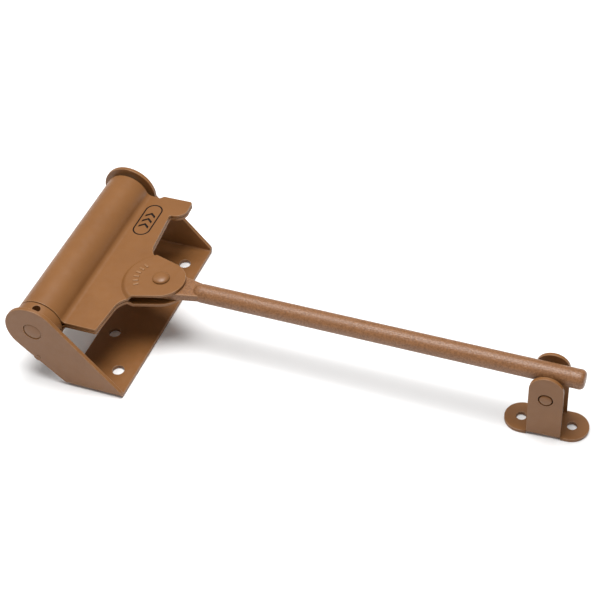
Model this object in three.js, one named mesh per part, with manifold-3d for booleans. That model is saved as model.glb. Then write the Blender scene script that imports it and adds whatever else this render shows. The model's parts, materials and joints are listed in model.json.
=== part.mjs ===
// Spring door closer: a sprung barrel on a wall bracket swings a rod that slides over a roller on the door.
// Millimetres, +Z up out of the mounting surface, +Y along the spindle, +X towards the door bracket.
// The origin is the centre of the mounting bracket's back face.

import * as THREE from "three";
import { mergeVertices } from "three/addons/utils/BufferGeometryUtils.js";
import Module from "manifold-3d";

const wasm = await Module();
wasm.setup();

const DEGREE = Math.PI / 180;

// Gaps between pieces
const FIT_GAP = 0.3; // between pieces that seat on or in each other
const RUN_GAP = 0.4; // between faces that turn past each other

// Mounting bracket
const BASE_WIDTH = 30.5;
const BASE_LENGTH = 112;
const BASE_SHEET = 2;
const BASE_BEND = 0.8; // inner bend radius
const BASE_HOLE = 6;
const OUTER_HOLE_X = 6;
const OUTER_HOLE_INSET = 15.4; // from the outside of an ear
const INNER_HOLE_X = -7.2;
const INNER_HOLE_INSET = 38.6;
const EAR_RADIUS = 14.5;
const EAR_FOOT = 3.2; // straight foot of an ear above the mounting face
const EAR_FOOT_ROUND = 4;
// Hollow in the far ear's slope, from the spindle
const HOLLOW_REACH = 27;
const HOLLOW_DROP = 1.5;

// Spindle
const SPINDLE_OUTSET = 12.7; // from the base's left edge
const SPINDLE_HEIGHT = 33;
const SPINDLE_DIAMETER = 9.5;

// Stop pin and its lobe on the near ear
const STOP_ANGLE = -90 * DEGREE;
const STOP_OUTSET = 2.85; // from the round of the ear
const STOP_DIAMETER = 2.6;
const STOP_SHORT = 2; // from the pin's end to the barrel's near end
const STOP_LOBE = 2.6;

// Barrel, one rolled sheet
const BARREL_DIAMETER = 24;
const BARREL_SHEET = 1.5;
const BARREL_NEAR_INSET = 9; // from the outside of the near ear to the barrel's near end
const BARREL_FAR_INSET = 4;
const FLAP_SLIT = 0.3;
const FLAP_FILLET = 3; // outer radius of the valley between barrel and flap
const REST_TILT = 0.4 * DEGREE; // the flap rises this much towards the door bracket

// Clevis, the joggled ends of the flaps
const PIVOT_REACH = 46.5; // spindle to rivet
const PIVOT_Y = -6.7;
const CLEVIS_ROUND = 12.2;
const CLEVIS_FLARE = 16 * DEGREE;
const BOSS_RADIUS = 20.1;
const BOSS_RAMP = 2.4;
const TONGUE_THICKNESS = 4;

// Edge of the flaps
const NECK_REACH = 32; // spindle to the edge beside the clevis
const NECK_FILLET = 9;
const EDGE_TAPER = 5 * DEGREE;
const TAB_ROOT_INSET = 11.6; // from the barrel's far end to the root of the tab
const TAB_REACH = 37.3; // spindle to the tip of the tab
const TAB_ROUND = 8;
const TAB_PROUD = 1.4; // past the barrel's far end
const TAB_STEP_REACH = 20.4;

// Rivet
const RIVET_DIAMETER = 6;
const RIVET_HEAD = 9.2;
const RIVET_DOME = 1.8;

// Arm rod
const ROD_DIAMETER = 9.5;
const ROD_LENGTH = 211.5; // rivet to rod end
const ROD_PAST_ROLLER = 16.1; // at rest
const ROD_CHAMFER = 1.5;
const TONGUE_ROUND = 8.6;
const SHOULDER_START = 17;
const SHOULDER_END = 22;
const ARM_REST_TURN = -0.45 * DEGREE;

// Tension collar
const COLLAR_HUB_LENGTH = 6;
const COLLAR_HOLE = 4;
const COLLAR_HOLE_DEPTH = 5.2;
const COLLAR_HOLE_INSET = 2.7; // from the collar's near face
const COLLAR_HOLES = 4;
const COLLAR_CHAMFER = 0.6;
const GROOVE_DEPTH = 3.2;

// Lock pin
const LOCK_DIAMETER = 3;
const LOCK_HEAD_LENGTH = 2;
const LOCK_HEAD_DIAMETER = 5;

// Torsion spring, which fills the room between the spindle and the barrel
const GROOVE_WALL = 0.675; // beside the grooves that its last coils stand in
const COIL_GAP = 1.1;

// End plug and far washer
const PLUG_LENGTH = 9;
const WASHER_THICKNESS = 1.2;
const WASHER_DIAMETER = 20;

// Door bracket
const DOOR_TURN = 2.7 * DEGREE;
const DOOR_LENGTH = 40;
const DOOR_WIDTH = 17.6;
const DOOR_SHEET = 1.8;
const DOOR_BEND = 0.8;
const DOOR_HOLE = 4.8;
const DOOR_HOLE_SPACING = 24;
const DOOR_EAR_WIDTH = 16;
const DOOR_EAR_OVER_ROD = 4.1; // above the middle of the rod
const ROLLER_DIAMETER = 9.7;
const ROLLER_PIN_DIAMETER = 6;
const ROLLER_PIN_PROUD = 0.4;

// Places that follow from the sizes above
const HALF_LENGTH = BASE_LENGTH / 2;
const EAR_INSIDE = HALF_LENGTH - BASE_SHEET;
const SPINDLE_X = -BASE_WIDTH / 2 - SPINDLE_OUTSET;
const BARREL_NEAR = -HALF_LENGTH + BARREL_NEAR_INSET;
const BARREL_FAR = HALF_LENGTH - BARREL_FAR_INSET;
const BARREL_OUTER = BARREL_DIAMETER / 2;
const BARREL_INNER = BARREL_OUTER - BARREL_SHEET;
const FLAP_INSIDE = FLAP_SLIT / 2;
const FLAP_OUTSIDE = FLAP_INSIDE + BARREL_SHEET;
const VALLEY_X = Math.sqrt((BARREL_OUTER + FLAP_FILLET) ** 2 - (FLAP_OUTSIDE + FLAP_FILLET) ** 2);
const CHEEK_INSIDE = TONGUE_THICKNESS / 2 + FIT_GAP;
const CHEEK_OUTSIDE = CHEEK_INSIDE + BARREL_SHEET;
const SPINDLE_BORE = SPINDLE_DIAMETER / 2 + FIT_GAP;
const PIVOT_BORE = RIVET_DIAMETER / 2 + FIT_GAP;
const INNER_FIT = BARREL_INNER - FIT_GAP;
const COLLAR_NEAR = -EAR_INSIDE + RUN_GAP;
const COLLAR_SHOULDER = BARREL_NEAR - RUN_GAP;
const COLLAR_HOLE_Y = COLLAR_NEAR + COLLAR_HOLE_INSET;
const STOP_RADIUS = EAR_RADIUS + STOP_OUTSET;
const LOCK_ANGLE = STOP_ANGLE - (LOCK_DIAMETER / 2 + STOP_DIAMETER / 2 + FIT_GAP) / STOP_RADIUS;
const LOCK_SHANK_END = STOP_RADIUS + STOP_DIAMETER / 2 + RUN_GAP;
const SPRING_MEAN_RADIUS = (SPINDLE_BORE + INNER_FIT) / 2;
const SPRING_WIRE = INNER_FIT - SPINDLE_BORE - 2 * (GROOVE_WALL + RUN_GAP);
const SPRING_GROOVE_INNER = SPINDLE_BORE + GROOVE_WALL;
const SPRING_GROOVE_OUTER = INNER_FIT - GROOVE_WALL;

// The door bracket stands under the rod, with its roller just reaching the underside of the rod
const ROD_TO_ROLLER = ROD_LENGTH - ROD_PAST_ROLLER;
const SPINDLE_TO_ROLLER = PIVOT_REACH + ROD_TO_ROLLER * Math.cos(ARM_REST_TURN);
const DOOR_X = SPINDLE_X + SPINDLE_TO_ROLLER * Math.cos(REST_TILT);
const DOOR_Y = PIVOT_Y + ROD_TO_ROLLER * Math.sin(ARM_REST_TURN);
const ROD_HEIGHT = SPINDLE_HEIGHT + SPINDLE_TO_ROLLER * Math.sin(REST_TILT);
const ROLLER_HEIGHT = ROD_HEIGHT - ROD_DIAMETER / 2 - FIT_GAP - ROLLER_DIAMETER / 2;
const DOOR_EAR_HEIGHT = ROD_HEIGHT + DOOR_EAR_OVER_ROD;

const materials = {
  tanPaint: { color: 0xa5744a, roughness: 0.55, metalness: 0.2 },
  rodPaint: { color: 0xa87450, roughness: 0.6, metalness: 0.25 },
  springSteel: { color: 0x5c5f63, roughness: 0.35, metalness: 0.9 },
  brightSteel: { color: 0xb9bcc0, roughness: 0.3, metalness: 0.9 },
  nylon: { color: 0x2a2725, roughness: 0.6, metalness: 0 },
};

function solid(geometry) {
  const bare = geometry.index ? geometry.toNonIndexed() : geometry.clone();
  bare.deleteAttribute("normal");
  bare.deleteAttribute("uv");
  const welded = mergeVertices(bare, 1e-4);
  return new wasm.Manifold(
    new wasm.Mesh({
      numProp: 3,
      vertProperties: new Float32Array(welded.attributes.position.array),
      triVerts: new Uint32Array(welded.index.array),
    }),
  );
}

function geometryOf(body) {
  const mesh = body.getMesh();
  const geometry = new THREE.BufferGeometry();
  geometry.setAttribute("position", new THREE.BufferAttribute(new Float32Array(mesh.vertProperties), 3));
  geometry.setIndex(new THREE.BufferAttribute(new Uint32Array(mesh.triVerts), 1));
  geometry.computeVertexNormals();
  return geometry;
}

function node(name, body, finish) {
  const material = new THREE.MeshStandardMaterial({ name: `${name}_finish`, ...materials[finish] });
  const mesh = new THREE.Mesh(geometryOf(body), material);
  mesh.name = name;
  return mesh;
}

function prismZ(shape, low, high, curveSegments = 16) {
  const geometry = new THREE.ExtrudeGeometry(shape, { depth: high - low, bevelEnabled: false, curveSegments });
  return solid(geometry.translate(0, 0, low));
}

// An outline drawn in X and Z, given thickness along Y
function prismY(shape, low, high, curveSegments = 16) {
  const geometry = new THREE.ExtrudeGeometry(shape, { depth: high - low, bevelEnabled: false, curveSegments });
  return solid(geometry.rotateX(Math.PI / 2).translate(0, high, 0));
}

// An outline drawn in Y and Z, given thickness along X
function prismX(shape, low, high, curveSegments = 16) {
  const geometry = new THREE.ExtrudeGeometry(shape, { depth: high - low, bevelEnabled: false, curveSegments });
  return solid(geometry.rotateY(Math.PI / 2).rotateX(Math.PI / 2).translate(low, 0, 0));
}

// A turned piece as a geometry: the profile's points are [radius, place along the axis]
function turnedGeometry(profile, axis) {
  const points = profile.map(([radius, along]) => new THREE.Vector2(radius, along));
  const closesOnAxis = points[0].x === 0 && points[points.length - 1].x === 0;
  if (!closesOnAxis) {
    points.push(points[0].clone());
  }
  // The profile runs with the axis on its left, so that its faces point out
  const area = points.reduce((sum, point, index) => {
    const next = points[(index + 1) % points.length];
    return sum + point.x * next.y - next.x * point.y;
  }, 0);
  if (area < 0) {
    points.reverse();
  }
  const widest = Math.max(...profile.map(([radius]) => radius));
  const geometry = new THREE.LatheGeometry(points, turnSegments(widest));
  if (axis === "z") {
    geometry.rotateX(Math.PI / 2);
  }
  if (axis === "x") {
    geometry.rotateZ(-Math.PI / 2);
  }
  return geometry;
}

function turned(profile, axis) {
  return solid(turnedGeometry(profile, axis));
}

function turnSegments(radius) {
  return THREE.MathUtils.clamp(8 * Math.ceil(radius / 2), 16, 48);
}

function roundBarProfile(radius, low, high, chamfer) {
  return [
    [0, low],
    [radius - chamfer, low],
    [radius, low + chamfer],
    [radius, high - chamfer],
    [radius - chamfer, high],
    [0, high],
  ];
}

function roundBar(radius, low, high, axis, chamfer = 0.4) {
  return turned(roundBarProfile(radius, low, high, chamfer), axis);
}

// A straight cutter for a round hole
function drill(radius, low, high, axis, place = new THREE.Vector3()) {
  const geometry = turnedGeometry([[0, low], [radius, low], [radius, high], [0, high]], axis);
  return solid(geometry.translate(place.x, place.y, place.z));
}

function point(x, y) {
  return new THREE.Vector2(x, y);
}

// Where a line from a point outside a circle touches it, on the left or right of the way to its centre
function touchPoint(from, centre, radius, side) {
  const way = centre.clone().sub(from);
  const spread = Math.asin(radius / way.length());
  const reach = Math.sqrt(way.lengthSq() - radius ** 2);
  const angle = way.angle() + side * spread;
  return point(from.x + reach * Math.cos(angle), from.y + reach * Math.sin(angle));
}

function angleFrom(centre, target) {
  return Math.atan2(target.y - centre.y, target.x - centre.x);
}

// Draws to a corner and round it, ready to go on towards the next point
function roundCorner(shape, before, corner, after, radius) {
  const back = before.clone().sub(corner).normalize();
  const ahead = after.clone().sub(corner).normalize();
  const half = Math.acos(THREE.MathUtils.clamp(back.dot(ahead), -1, 1)) / 2;
  const trim = radius / Math.tan(half);
  const start = corner.clone().addScaledVector(back, trim);
  const end = corner.clone().addScaledVector(ahead, trim);
  const middle = back.clone().add(ahead).normalize();
  const centre = corner.clone().addScaledVector(middle, radius / Math.sin(half));
  const turnsRight = back.cross(ahead) > 0;
  shape.lineTo(start.x, start.y);
  shape.absarc(centre.x, centre.y, radius, angleFrom(centre, start), angleFrom(centre, end), turnsRight);
}

// The section of a sheet bent up at both sides, drawn across its base
function bentSheet(half, sheet, bend, top) {
  const outer = bend + sheet;
  const shape = new THREE.Shape();
  shape.moveTo(-half, top);
  shape.lineTo(-half, outer);
  shape.absarc(-half + outer, outer, outer, Math.PI, 1.5 * Math.PI, false);
  shape.absarc(half - outer, outer, outer, 1.5 * Math.PI, 2 * Math.PI, false);
  shape.lineTo(half, top);
  shape.lineTo(half - sheet, top);
  shape.absarc(half - outer, outer, bend, 2 * Math.PI, 1.5 * Math.PI, true);
  shape.absarc(-half + outer, outer, bend, 1.5 * Math.PI, Math.PI, true);
  shape.lineTo(-half + sheet, top);
  return shape;
}

// Mounting bracket: side view of the base and its two ears
function earOutline() {
  const halfBase = BASE_WIDTH / 2;
  const centre = point(SPINDLE_X, SPINDLE_HEIGHT);
  const leftFoot = point(-halfBase, EAR_FOOT / 2);
  const rightFoot = point(halfBase, EAR_FOOT);
  const leftTouch = touchPoint(leftFoot, centre, EAR_RADIUS, 1);
  const rightTouch = touchPoint(rightFoot, centre, EAR_RADIUS, -1);
  const shape = new THREE.Shape();
  shape.moveTo(-halfBase, 0);
  shape.lineTo(halfBase, 0);
  roundCorner(shape, point(halfBase, 0), rightFoot, rightTouch, EAR_FOOT_ROUND);
  shape.lineTo(rightTouch.x, rightTouch.y);
  const start = angleFrom(centre, rightTouch);
  shape.absarc(centre.x, centre.y, EAR_RADIUS, start, angleFrom(centre, leftTouch), false);
  shape.lineTo(leftFoot.x, leftFoot.y);
  return shape;
}

const stopPlace = new THREE.Vector3(
  SPINDLE_X + STOP_RADIUS * Math.cos(STOP_ANGLE),
  0,
  SPINDLE_HEIGHT + STOP_RADIUS * Math.sin(STOP_ANGLE),
);

// What the hollow takes from the far ear beside its round head
function farEarHollow() {
  const centre = point(SPINDLE_X, SPINDLE_HEIGHT);
  const rightFoot = point(BASE_WIDTH / 2, EAR_FOOT);
  const rightTouch = touchPoint(rightFoot, centre, EAR_RADIUS, -1);
  const share = (SPINDLE_X + HOLLOW_REACH - rightTouch.x) / (rightFoot.x - rightTouch.x);
  const low = point(
    rightTouch.x + share * (rightFoot.x - rightTouch.x),
    rightTouch.y + share * (rightFoot.y - rightTouch.y),
  );
  const shape = new THREE.Shape();
  shape.moveTo(centre.x + EAR_RADIUS, centre.y - HOLLOW_DROP);
  shape.lineTo(low.x, low.y);
  shape.lineTo(low.x + BASE_SHEET, low.y + BASE_SHEET);
  shape.lineTo(rightTouch.x + BASE_SHEET, rightTouch.y + BASE_SHEET);
  shape.lineTo(rightTouch.x, rightTouch.y);
  const head = drill(EAR_RADIUS, 0, HALF_LENGTH + 2, "y", new THREE.Vector3(SPINDLE_X, 0, SPINDLE_HEIGHT));
  return prismY(shape, EAR_INSIDE - 1, HALF_LENGTH + 1, 4).subtract(head);
}

function mountingBracket() {
  const top = SPINDLE_HEIGHT + EAR_RADIUS + 1;
  const left = SPINDLE_X - EAR_RADIUS - 1;
  const bent = prismX(bentSheet(HALF_LENGTH, BASE_SHEET, BASE_BEND, top), left, BASE_WIDTH / 2 + 1, 6);
  const outline = prismY(earOutline(), -HALF_LENGTH - 1, HALF_LENGTH + 1, 16);
  const lobe = drill(STOP_LOBE, -HALF_LENGTH, -EAR_INSIDE, "y", stopPlace);
  let body = bent.intersect(outline).add(lobe).subtract(farEarHollow());
  const spindlePlace = new THREE.Vector3(SPINDLE_X, 0, SPINDLE_HEIGHT);
  body = body.subtract(drill(SPINDLE_BORE, -HALF_LENGTH - 1, HALF_LENGTH + 1, "y", spindlePlace));
  body = body.subtract(drill(STOP_DIAMETER / 2 + FIT_GAP, -HALF_LENGTH - 1, -EAR_INSIDE + 1, "y", stopPlace));
  for (const side of [-1, 1]) {
    const outer = new THREE.Vector3(OUTER_HOLE_X, side * (HALF_LENGTH - OUTER_HOLE_INSET), 0);
    const inner = new THREE.Vector3(INNER_HOLE_X, side * (HALF_LENGTH - INNER_HOLE_INSET), 0);
    body = body.subtract(drill(BASE_HOLE / 2, -1, BASE_SHEET + 1, "z", outer));
    body = body.subtract(drill(BASE_HOLE / 2, -1, BASE_SHEET + 1, "z", inner));
  }
  return node("mounting_bracket", body, "tanPaint");
}

function spindle() {
  const mesh = node("spindle", roundBar(SPINDLE_DIAMETER / 2, -HALF_LENGTH, HALF_LENGTH, "y"), "tanPaint");
  mesh.position.set(SPINDLE_X, 0, SPINDLE_HEIGHT);
  return mesh;
}

function stopPin() {
  const body = roundBar(STOP_DIAMETER / 2, -HALF_LENGTH, BARREL_NEAR - STOP_SHORT, "y", 0.3);
  const mesh = node("stop_pin", body, "tanPaint");
  mesh.position.copy(stopPlace);
  return mesh;
}

function farWasher() {
  const near = BARREL_FAR + RUN_GAP;
  const far = near + WASHER_THICKNESS;
  const rim = WASHER_DIAMETER / 2;
  const body = turned([[SPINDLE_BORE, near], [rim, near], [rim, far], [SPINDLE_BORE, far]], "y");
  const mesh = node("far_thrust_washer", body, "brightSteel");
  mesh.position.set(SPINDLE_X, 0, SPINDLE_HEIGHT);
  return mesh;
}

function tensionCollar() {
  const hubEnd = COLLAR_SHOULDER + COLLAR_HUB_LENGTH;
  const groove = hubEnd - GROOVE_DEPTH;
  let body = turned(
    [
      [SPINDLE_BORE, COLLAR_NEAR],
      [BARREL_OUTER - COLLAR_CHAMFER, COLLAR_NEAR],
      [BARREL_OUTER, COLLAR_NEAR + COLLAR_CHAMFER],
      [BARREL_OUTER, COLLAR_SHOULDER],
      [INNER_FIT, COLLAR_SHOULDER],
      [INNER_FIT, hubEnd],
      [SPRING_GROOVE_OUTER, hubEnd],
      [SPRING_GROOVE_OUTER, groove],
      [SPRING_GROOVE_INNER, groove],
      [SPRING_GROOVE_INNER, hubEnd],
      [SPINDLE_BORE, hubEnd],
    ],
    "y",
  );
  const floor = BARREL_OUTER - COLLAR_HOLE_DEPTH;
  const profile = [[0, floor], [COLLAR_HOLE / 2, floor], [COLLAR_HOLE / 2, BARREL_OUTER + 1], [0, BARREL_OUTER + 1]];
  for (let index = 0; index < COLLAR_HOLES; index += 1) {
    const angle = LOCK_ANGLE + (index * 2 * Math.PI) / COLLAR_HOLES;
    const cutter = turnedGeometry(profile, "x").rotateY(-angle).translate(0, COLLAR_HOLE_Y, 0);
    body = body.subtract(solid(cutter));
  }
  return node("tension_collar", body, "tanPaint");
}

function lockPin() {
  const start = BARREL_OUTER - COLLAR_HOLE_DEPTH + FIT_GAP;
  const end = LOCK_SHANK_END + LOCK_HEAD_LENGTH;
  const shank = LOCK_DIAMETER / 2;
  const head = LOCK_HEAD_DIAMETER / 2;
  const profile = [
    [0, start],
    [shank - 0.4, start],
    [shank, start + 0.4],
    [shank, LOCK_SHANK_END],
    [head, LOCK_SHANK_END],
    [head, end - 0.6],
    [head - 0.6, end],
    [0, end],
  ];
  const mesh = node("lock_pin", turned(profile, "x"), "brightSteel");
  mesh.position.set(0, COLLAR_HOLE_Y, 0);
  mesh.rotation.y = -LOCK_ANGLE;
  return mesh;
}

class SpringPath extends THREE.Curve {
  constructor(near, far, turns) {
    super();
    this.near = near;
    this.far = far;
    this.turns = turns;
  }

  getPoint(share, target = new THREE.Vector3()) {
    const angle = share * this.turns * 2 * Math.PI;
    const along = this.near + share * (this.far - this.near);
    return target.set(SPRING_MEAN_RADIUS * Math.cos(angle), along, SPRING_MEAN_RADIUS * Math.sin(angle));
  }
}

function torsionSpring() {
  const section = new THREE.Shape();
  section.absarc(0, 0, SPRING_WIRE / 2, 0, 2 * Math.PI, false);
  const inGroove = GROOVE_DEPTH - RUN_GAP - SPRING_WIRE / 2;
  const near = COLLAR_SHOULDER + COLLAR_HUB_LENGTH - inGroove;
  const far = BARREL_FAR - PLUG_LENGTH + inGroove;
  const turns = Math.floor((far - near) / (SPRING_WIRE + COIL_GAP));
  const geometry = new THREE.ExtrudeGeometry(section, {
    steps: 10 * turns,
    curveSegments: 3,
    extrudePath: new SpringPath(near, far, turns),
  });
  return node("torsion_spring", solid(geometry), "springSteel");
}

function endPlug() {
  const near = BARREL_FAR - PLUG_LENGTH;
  const far = BARREL_FAR - FIT_GAP;
  const groove = near + GROOVE_DEPTH;
  const body = turned(
    [
      [SPINDLE_BORE, near],
      [SPRING_GROOVE_INNER, near],
      [SPRING_GROOVE_INNER, groove],
      [SPRING_GROOVE_OUTER, groove],
      [SPRING_GROOVE_OUTER, near],
      [INNER_FIT, near],
      [INNER_FIT, far],
      [SPINDLE_BORE, far],
    ],
    "y",
  );
  return node("end_plug", body, "brightSteel");
}

// Section of the rolled sheet: round the spindle, then out into two flaps with a slit between them
function rolledSection() {
  const flapEnd = VALLEY_X + 1;
  const valley = point(VALLEY_X, FLAP_OUTSIDE + FLAP_FILLET);
  const opening = Math.atan2(valley.y, valley.x);
  const innerFillet = FLAP_FILLET + BARREL_SHEET;
  const down = 1.5 * Math.PI;
  const toBarrel = opening + Math.PI;
  const shape = new THREE.Shape();
  shape.moveTo(flapEnd, FLAP_OUTSIDE);
  shape.absarc(valley.x, valley.y, FLAP_FILLET, down, toBarrel, true);
  shape.absarc(0, 0, BARREL_OUTER, opening, 2 * Math.PI - opening, false);
  shape.absarc(valley.x, -valley.y, FLAP_FILLET, -toBarrel, -down, true);
  shape.lineTo(flapEnd, -FLAP_OUTSIDE);
  shape.lineTo(flapEnd, -FLAP_INSIDE);
  shape.absarc(valley.x, -valley.y, innerFillet, -down, -toBarrel, false);
  shape.absarc(0, 0, BARREL_INNER, 2 * Math.PI - opening, opening, true);
  shape.absarc(valley.x, valley.y, innerFillet, toBarrel, down, false);
  shape.lineTo(flapEnd, FLAP_INSIDE);
  return shape;
}

// Edge of both flaps, seen from above: near edge, neck, round clevis, neck, notch and tab
function flapOutline() {
  const pivot = point(PIVOT_REACH, PIVOT_Y);
  const neckDrop = CLEVIS_ROUND / Math.cos(CLEVIS_FLARE) + (PIVOT_REACH - NECK_REACH) * Math.tan(CLEVIS_FLARE);
  const nearNeck = point(NECK_REACH, PIVOT_Y - neckDrop);
  const farNeck = point(NECK_REACH, PIVOT_Y + neckDrop);
  const tabRootY = BARREL_FAR - TAB_ROOT_INSET;
  const tabTopY = BARREL_FAR + TAB_PROUD;
  const taper = Math.tan(EDGE_TAPER);
  const nearCorner = point(NECK_REACH - (nearNeck.y - BARREL_NEAR) * taper, BARREL_NEAR);
  const tabRoot = point(NECK_REACH - (tabRootY - farNeck.y) * taper, tabRootY);
  const tabLow = point(TAB_REACH, tabRootY);
  const tabTip = point(TAB_REACH - 0.8, tabTopY);
  const step = point(TAB_STEP_REACH, tabTopY);
  const nearTouch = touchPoint(nearNeck, pivot, CLEVIS_ROUND, -1);
  const farTouch = touchPoint(farNeck, pivot, CLEVIS_ROUND, 1);
  const shape = new THREE.Shape();
  shape.moveTo(VALLEY_X, BARREL_NEAR);
  roundCorner(shape, point(VALLEY_X, BARREL_NEAR), nearCorner, nearNeck, 0.8);
  roundCorner(shape, nearCorner, nearNeck, nearTouch, NECK_FILLET);
  shape.absarc(pivot.x, pivot.y, CLEVIS_ROUND, angleFrom(pivot, nearTouch), angleFrom(pivot, farTouch), false);
  roundCorner(shape, farTouch, farNeck, tabRoot, NECK_FILLET);
  roundCorner(shape, farNeck, tabRoot, tabLow, 1);
  roundCorner(shape, tabRoot, tabLow, tabTip, TAB_ROUND - 2);
  roundCorner(shape, tabLow, tabTip, step, 1);
  shape.lineTo(step.x, step.y);
  shape.lineTo(step.x - 1.8, BARREL_FAR - 0.5);
  shape.lineTo(VALLEY_X, BARREL_FAR);
  return shape;
}

// One flap with its end joggled away from the other, side 1 for the upper and -1 for the lower
function flap(side) {
  const rampSteps = 3;
  const reach = 2 * BASE_LENGTH;
  const outside = [];
  const inside = [];
  for (let index = 0; index <= rampSteps; index += 1) {
    const share = index / rampSteps;
    const lift = (1 + Math.cos(share * Math.PI)) / 2;
    const radius = BOSS_RADIUS - BOSS_RAMP * (1 - share);
    outside.push([radius, side * (FLAP_OUTSIDE + lift * (CHEEK_OUTSIDE - FLAP_OUTSIDE))]);
    inside.push([radius, side * (FLAP_INSIDE + lift * (CHEEK_INSIDE - FLAP_INSIDE))]);
  }
  const profile = [
    [PIVOT_BORE, side * CHEEK_OUTSIDE],
    ...outside,
    [reach, side * FLAP_OUTSIDE],
    [reach, side * FLAP_INSIDE],
    ...inside.reverse(),
    [PIVOT_BORE, side * CHEEK_INSIDE],
  ];
  const pressed = solid(turnedGeometry(profile, "z").translate(PIVOT_REACH, PIVOT_Y, 0));
  return pressed.intersect(prismZ(flapOutline(), -2 * CHEEK_OUTSIDE, 2 * CHEEK_OUTSIDE, 12));
}

function barrelShell() {
  const tube = prismY(rolledSection(), BARREL_NEAR, BARREL_FAR, 18);
  return node("barrel_shell", tube.add(flap(1)).add(flap(-1)), "tanPaint");
}

function clevisRivet() {
  const head = RIVET_HEAD / 2;
  const seat = CHEEK_OUTSIDE + FIT_GAP;
  const shank = RIVET_DIAMETER / 2;
  const domeSteps = 4;
  const half = [[shank, seat], [head, seat]];
  for (let index = 1; index < domeSteps; index += 1) {
    const angle = (index / domeSteps) * (Math.PI / 2);
    half.push([head * Math.cos(angle), seat + RIVET_DOME * Math.sin(angle)]);
  }
  half.push([0, seat + RIVET_DOME]);
  const lower = half.map(([radius, along]) => [radius, -along]).reverse();
  const mesh = node("clevis_rivet", turned([...lower, ...half], "z"), "tanPaint");
  mesh.position.set(PIVOT_REACH, PIVOT_Y, 0);
  return mesh;
}

function armRod() {
  const radius = ROD_DIAMETER / 2;
  const eye = point(0, 0);
  const rootWidth = Math.sqrt(radius ** 2 - (TONGUE_THICKNESS / 2) ** 2) - 0.05;
  const root = point(SHOULDER_END, rootWidth);
  const touch = touchPoint(root, eye, TONGUE_ROUND, -1);
  const start = angleFrom(eye, touch);
  const outline = new THREE.Shape();
  outline.moveTo(root.x, -root.y);
  outline.lineTo(root.x, root.y);
  outline.absarc(0, 0, TONGUE_ROUND, start, 2 * Math.PI - start, false);
  const tongue = prismZ(outline, -TONGUE_THICKNESS / 2, TONGUE_THICKNESS / 2, 14);
  const nose = [];
  const noseSteps = 5;
  for (let index = 0; index <= noseSteps; index += 1) {
    const angle = (index / noseSteps) * (Math.PI / 2);
    nose.push([
      radius * Math.sin(angle),
      SHOULDER_END - (SHOULDER_END - SHOULDER_START) * Math.cos(angle),
    ]);
  }
  const bar = turned(
    [...nose, [radius, ROD_LENGTH - ROD_CHAMFER], [radius - ROD_CHAMFER, ROD_LENGTH], [0, ROD_LENGTH]],
    "x",
  );
  const bore = drill(PIVOT_BORE, -TONGUE_THICKNESS, TONGUE_THICKNESS, "z");
  return node("arm_rod", tongue.add(bar).subtract(bore), "rodPaint");
}

// Door bracket: a stadium base with two ears bent up from its long sides
function doorBracket() {
  const half = DOOR_WIDTH / 2;
  const straight = DOOR_LENGTH / 2 - half;
  const earHalf = DOOR_EAR_WIDTH / 2;
  const stadium = new THREE.Shape();
  stadium.absarc(straight, 0, half, -Math.PI / 2, Math.PI / 2, false);
  stadium.absarc(-straight, 0, half, Math.PI / 2, 1.5 * Math.PI, false);
  const earSide = new THREE.Shape();
  earSide.moveTo(-earHalf, -1);
  earSide.lineTo(earHalf, -1);
  earSide.absarc(0, DOOR_EAR_HEIGHT - earHalf, earHalf, 0, Math.PI, false);
  const bendZone = new THREE.BoxGeometry(DOOR_EAR_WIDTH, DOOR_WIDTH + 2, 3 * DOOR_SHEET);
  const flat = prismZ(stadium, 0, DOOR_SHEET, 14).subtract(solid(bendZone));
  const section = bentSheet(half, DOOR_SHEET, DOOR_BEND, DOOR_EAR_HEIGHT + 1);
  const bent = prismX(section, -earHalf, earHalf, 6).intersect(prismY(earSide, -DOOR_WIDTH, DOOR_WIDTH, 14));
  let body = flat.add(bent);
  for (const side of [-1, 1]) {
    const hole = new THREE.Vector3((side * DOOR_HOLE_SPACING) / 2, 0, 0);
    body = body.subtract(drill(DOOR_HOLE / 2, -1, DOOR_SHEET + 1, "z", hole));
  }
  const axle = new THREE.Vector3(0, 0, ROLLER_HEIGHT);
  body = body.subtract(drill(ROLLER_PIN_DIAMETER / 2 + FIT_GAP, -DOOR_WIDTH, DOOR_WIDTH, "y", axle));
  return node("door_bracket", body, "tanPaint");
}

function rollerPin() {
  const end = DOOR_WIDTH / 2 + ROLLER_PIN_PROUD;
  const mesh = node("roller_pin", roundBar(ROLLER_PIN_DIAMETER / 2, -end, end, "y"), "tanPaint");
  mesh.position.z = ROLLER_HEIGHT;
  return mesh;
}

function roller() {
  const end = DOOR_WIDTH / 2 - DOOR_SHEET - RUN_GAP;
  const bore = ROLLER_PIN_DIAMETER / 2 + FIT_GAP;
  const rim = ROLLER_DIAMETER / 2;
  const chamfer = 0.4;
  const body = turned(
    [
      [bore, -end],
      [rim - chamfer, -end],
      [rim, -end + chamfer],
      [rim, end - chamfer],
      [rim - chamfer, end],
      [bore, end],
    ],
    "y",
  );
  const mesh = node("roller", body, "nylon");
  mesh.position.z = ROLLER_HEIGHT;
  return mesh;
}

const closer = new THREE.Group();
closer.add(mountingBracket(), spindle(), stopPin(), farWasher());

const collar = new THREE.Group();
collar.position.set(SPINDLE_X, 0, SPINDLE_HEIGHT);
collar.add(tensionCollar(), lockPin());
closer.add(collar);

const barrel = new THREE.Group();
barrel.position.set(SPINDLE_X, 0, SPINDLE_HEIGHT);
barrel.rotation.y = -REST_TILT;
barrel.add(barrelShell(), endPlug(), torsionSpring(), clevisRivet());
closer.add(barrel);

const arm = new THREE.Group();
arm.position.set(PIVOT_REACH, PIVOT_Y, 0);
arm.rotation.z = ARM_REST_TURN;
arm.add(armRod());
barrel.add(arm);

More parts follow.
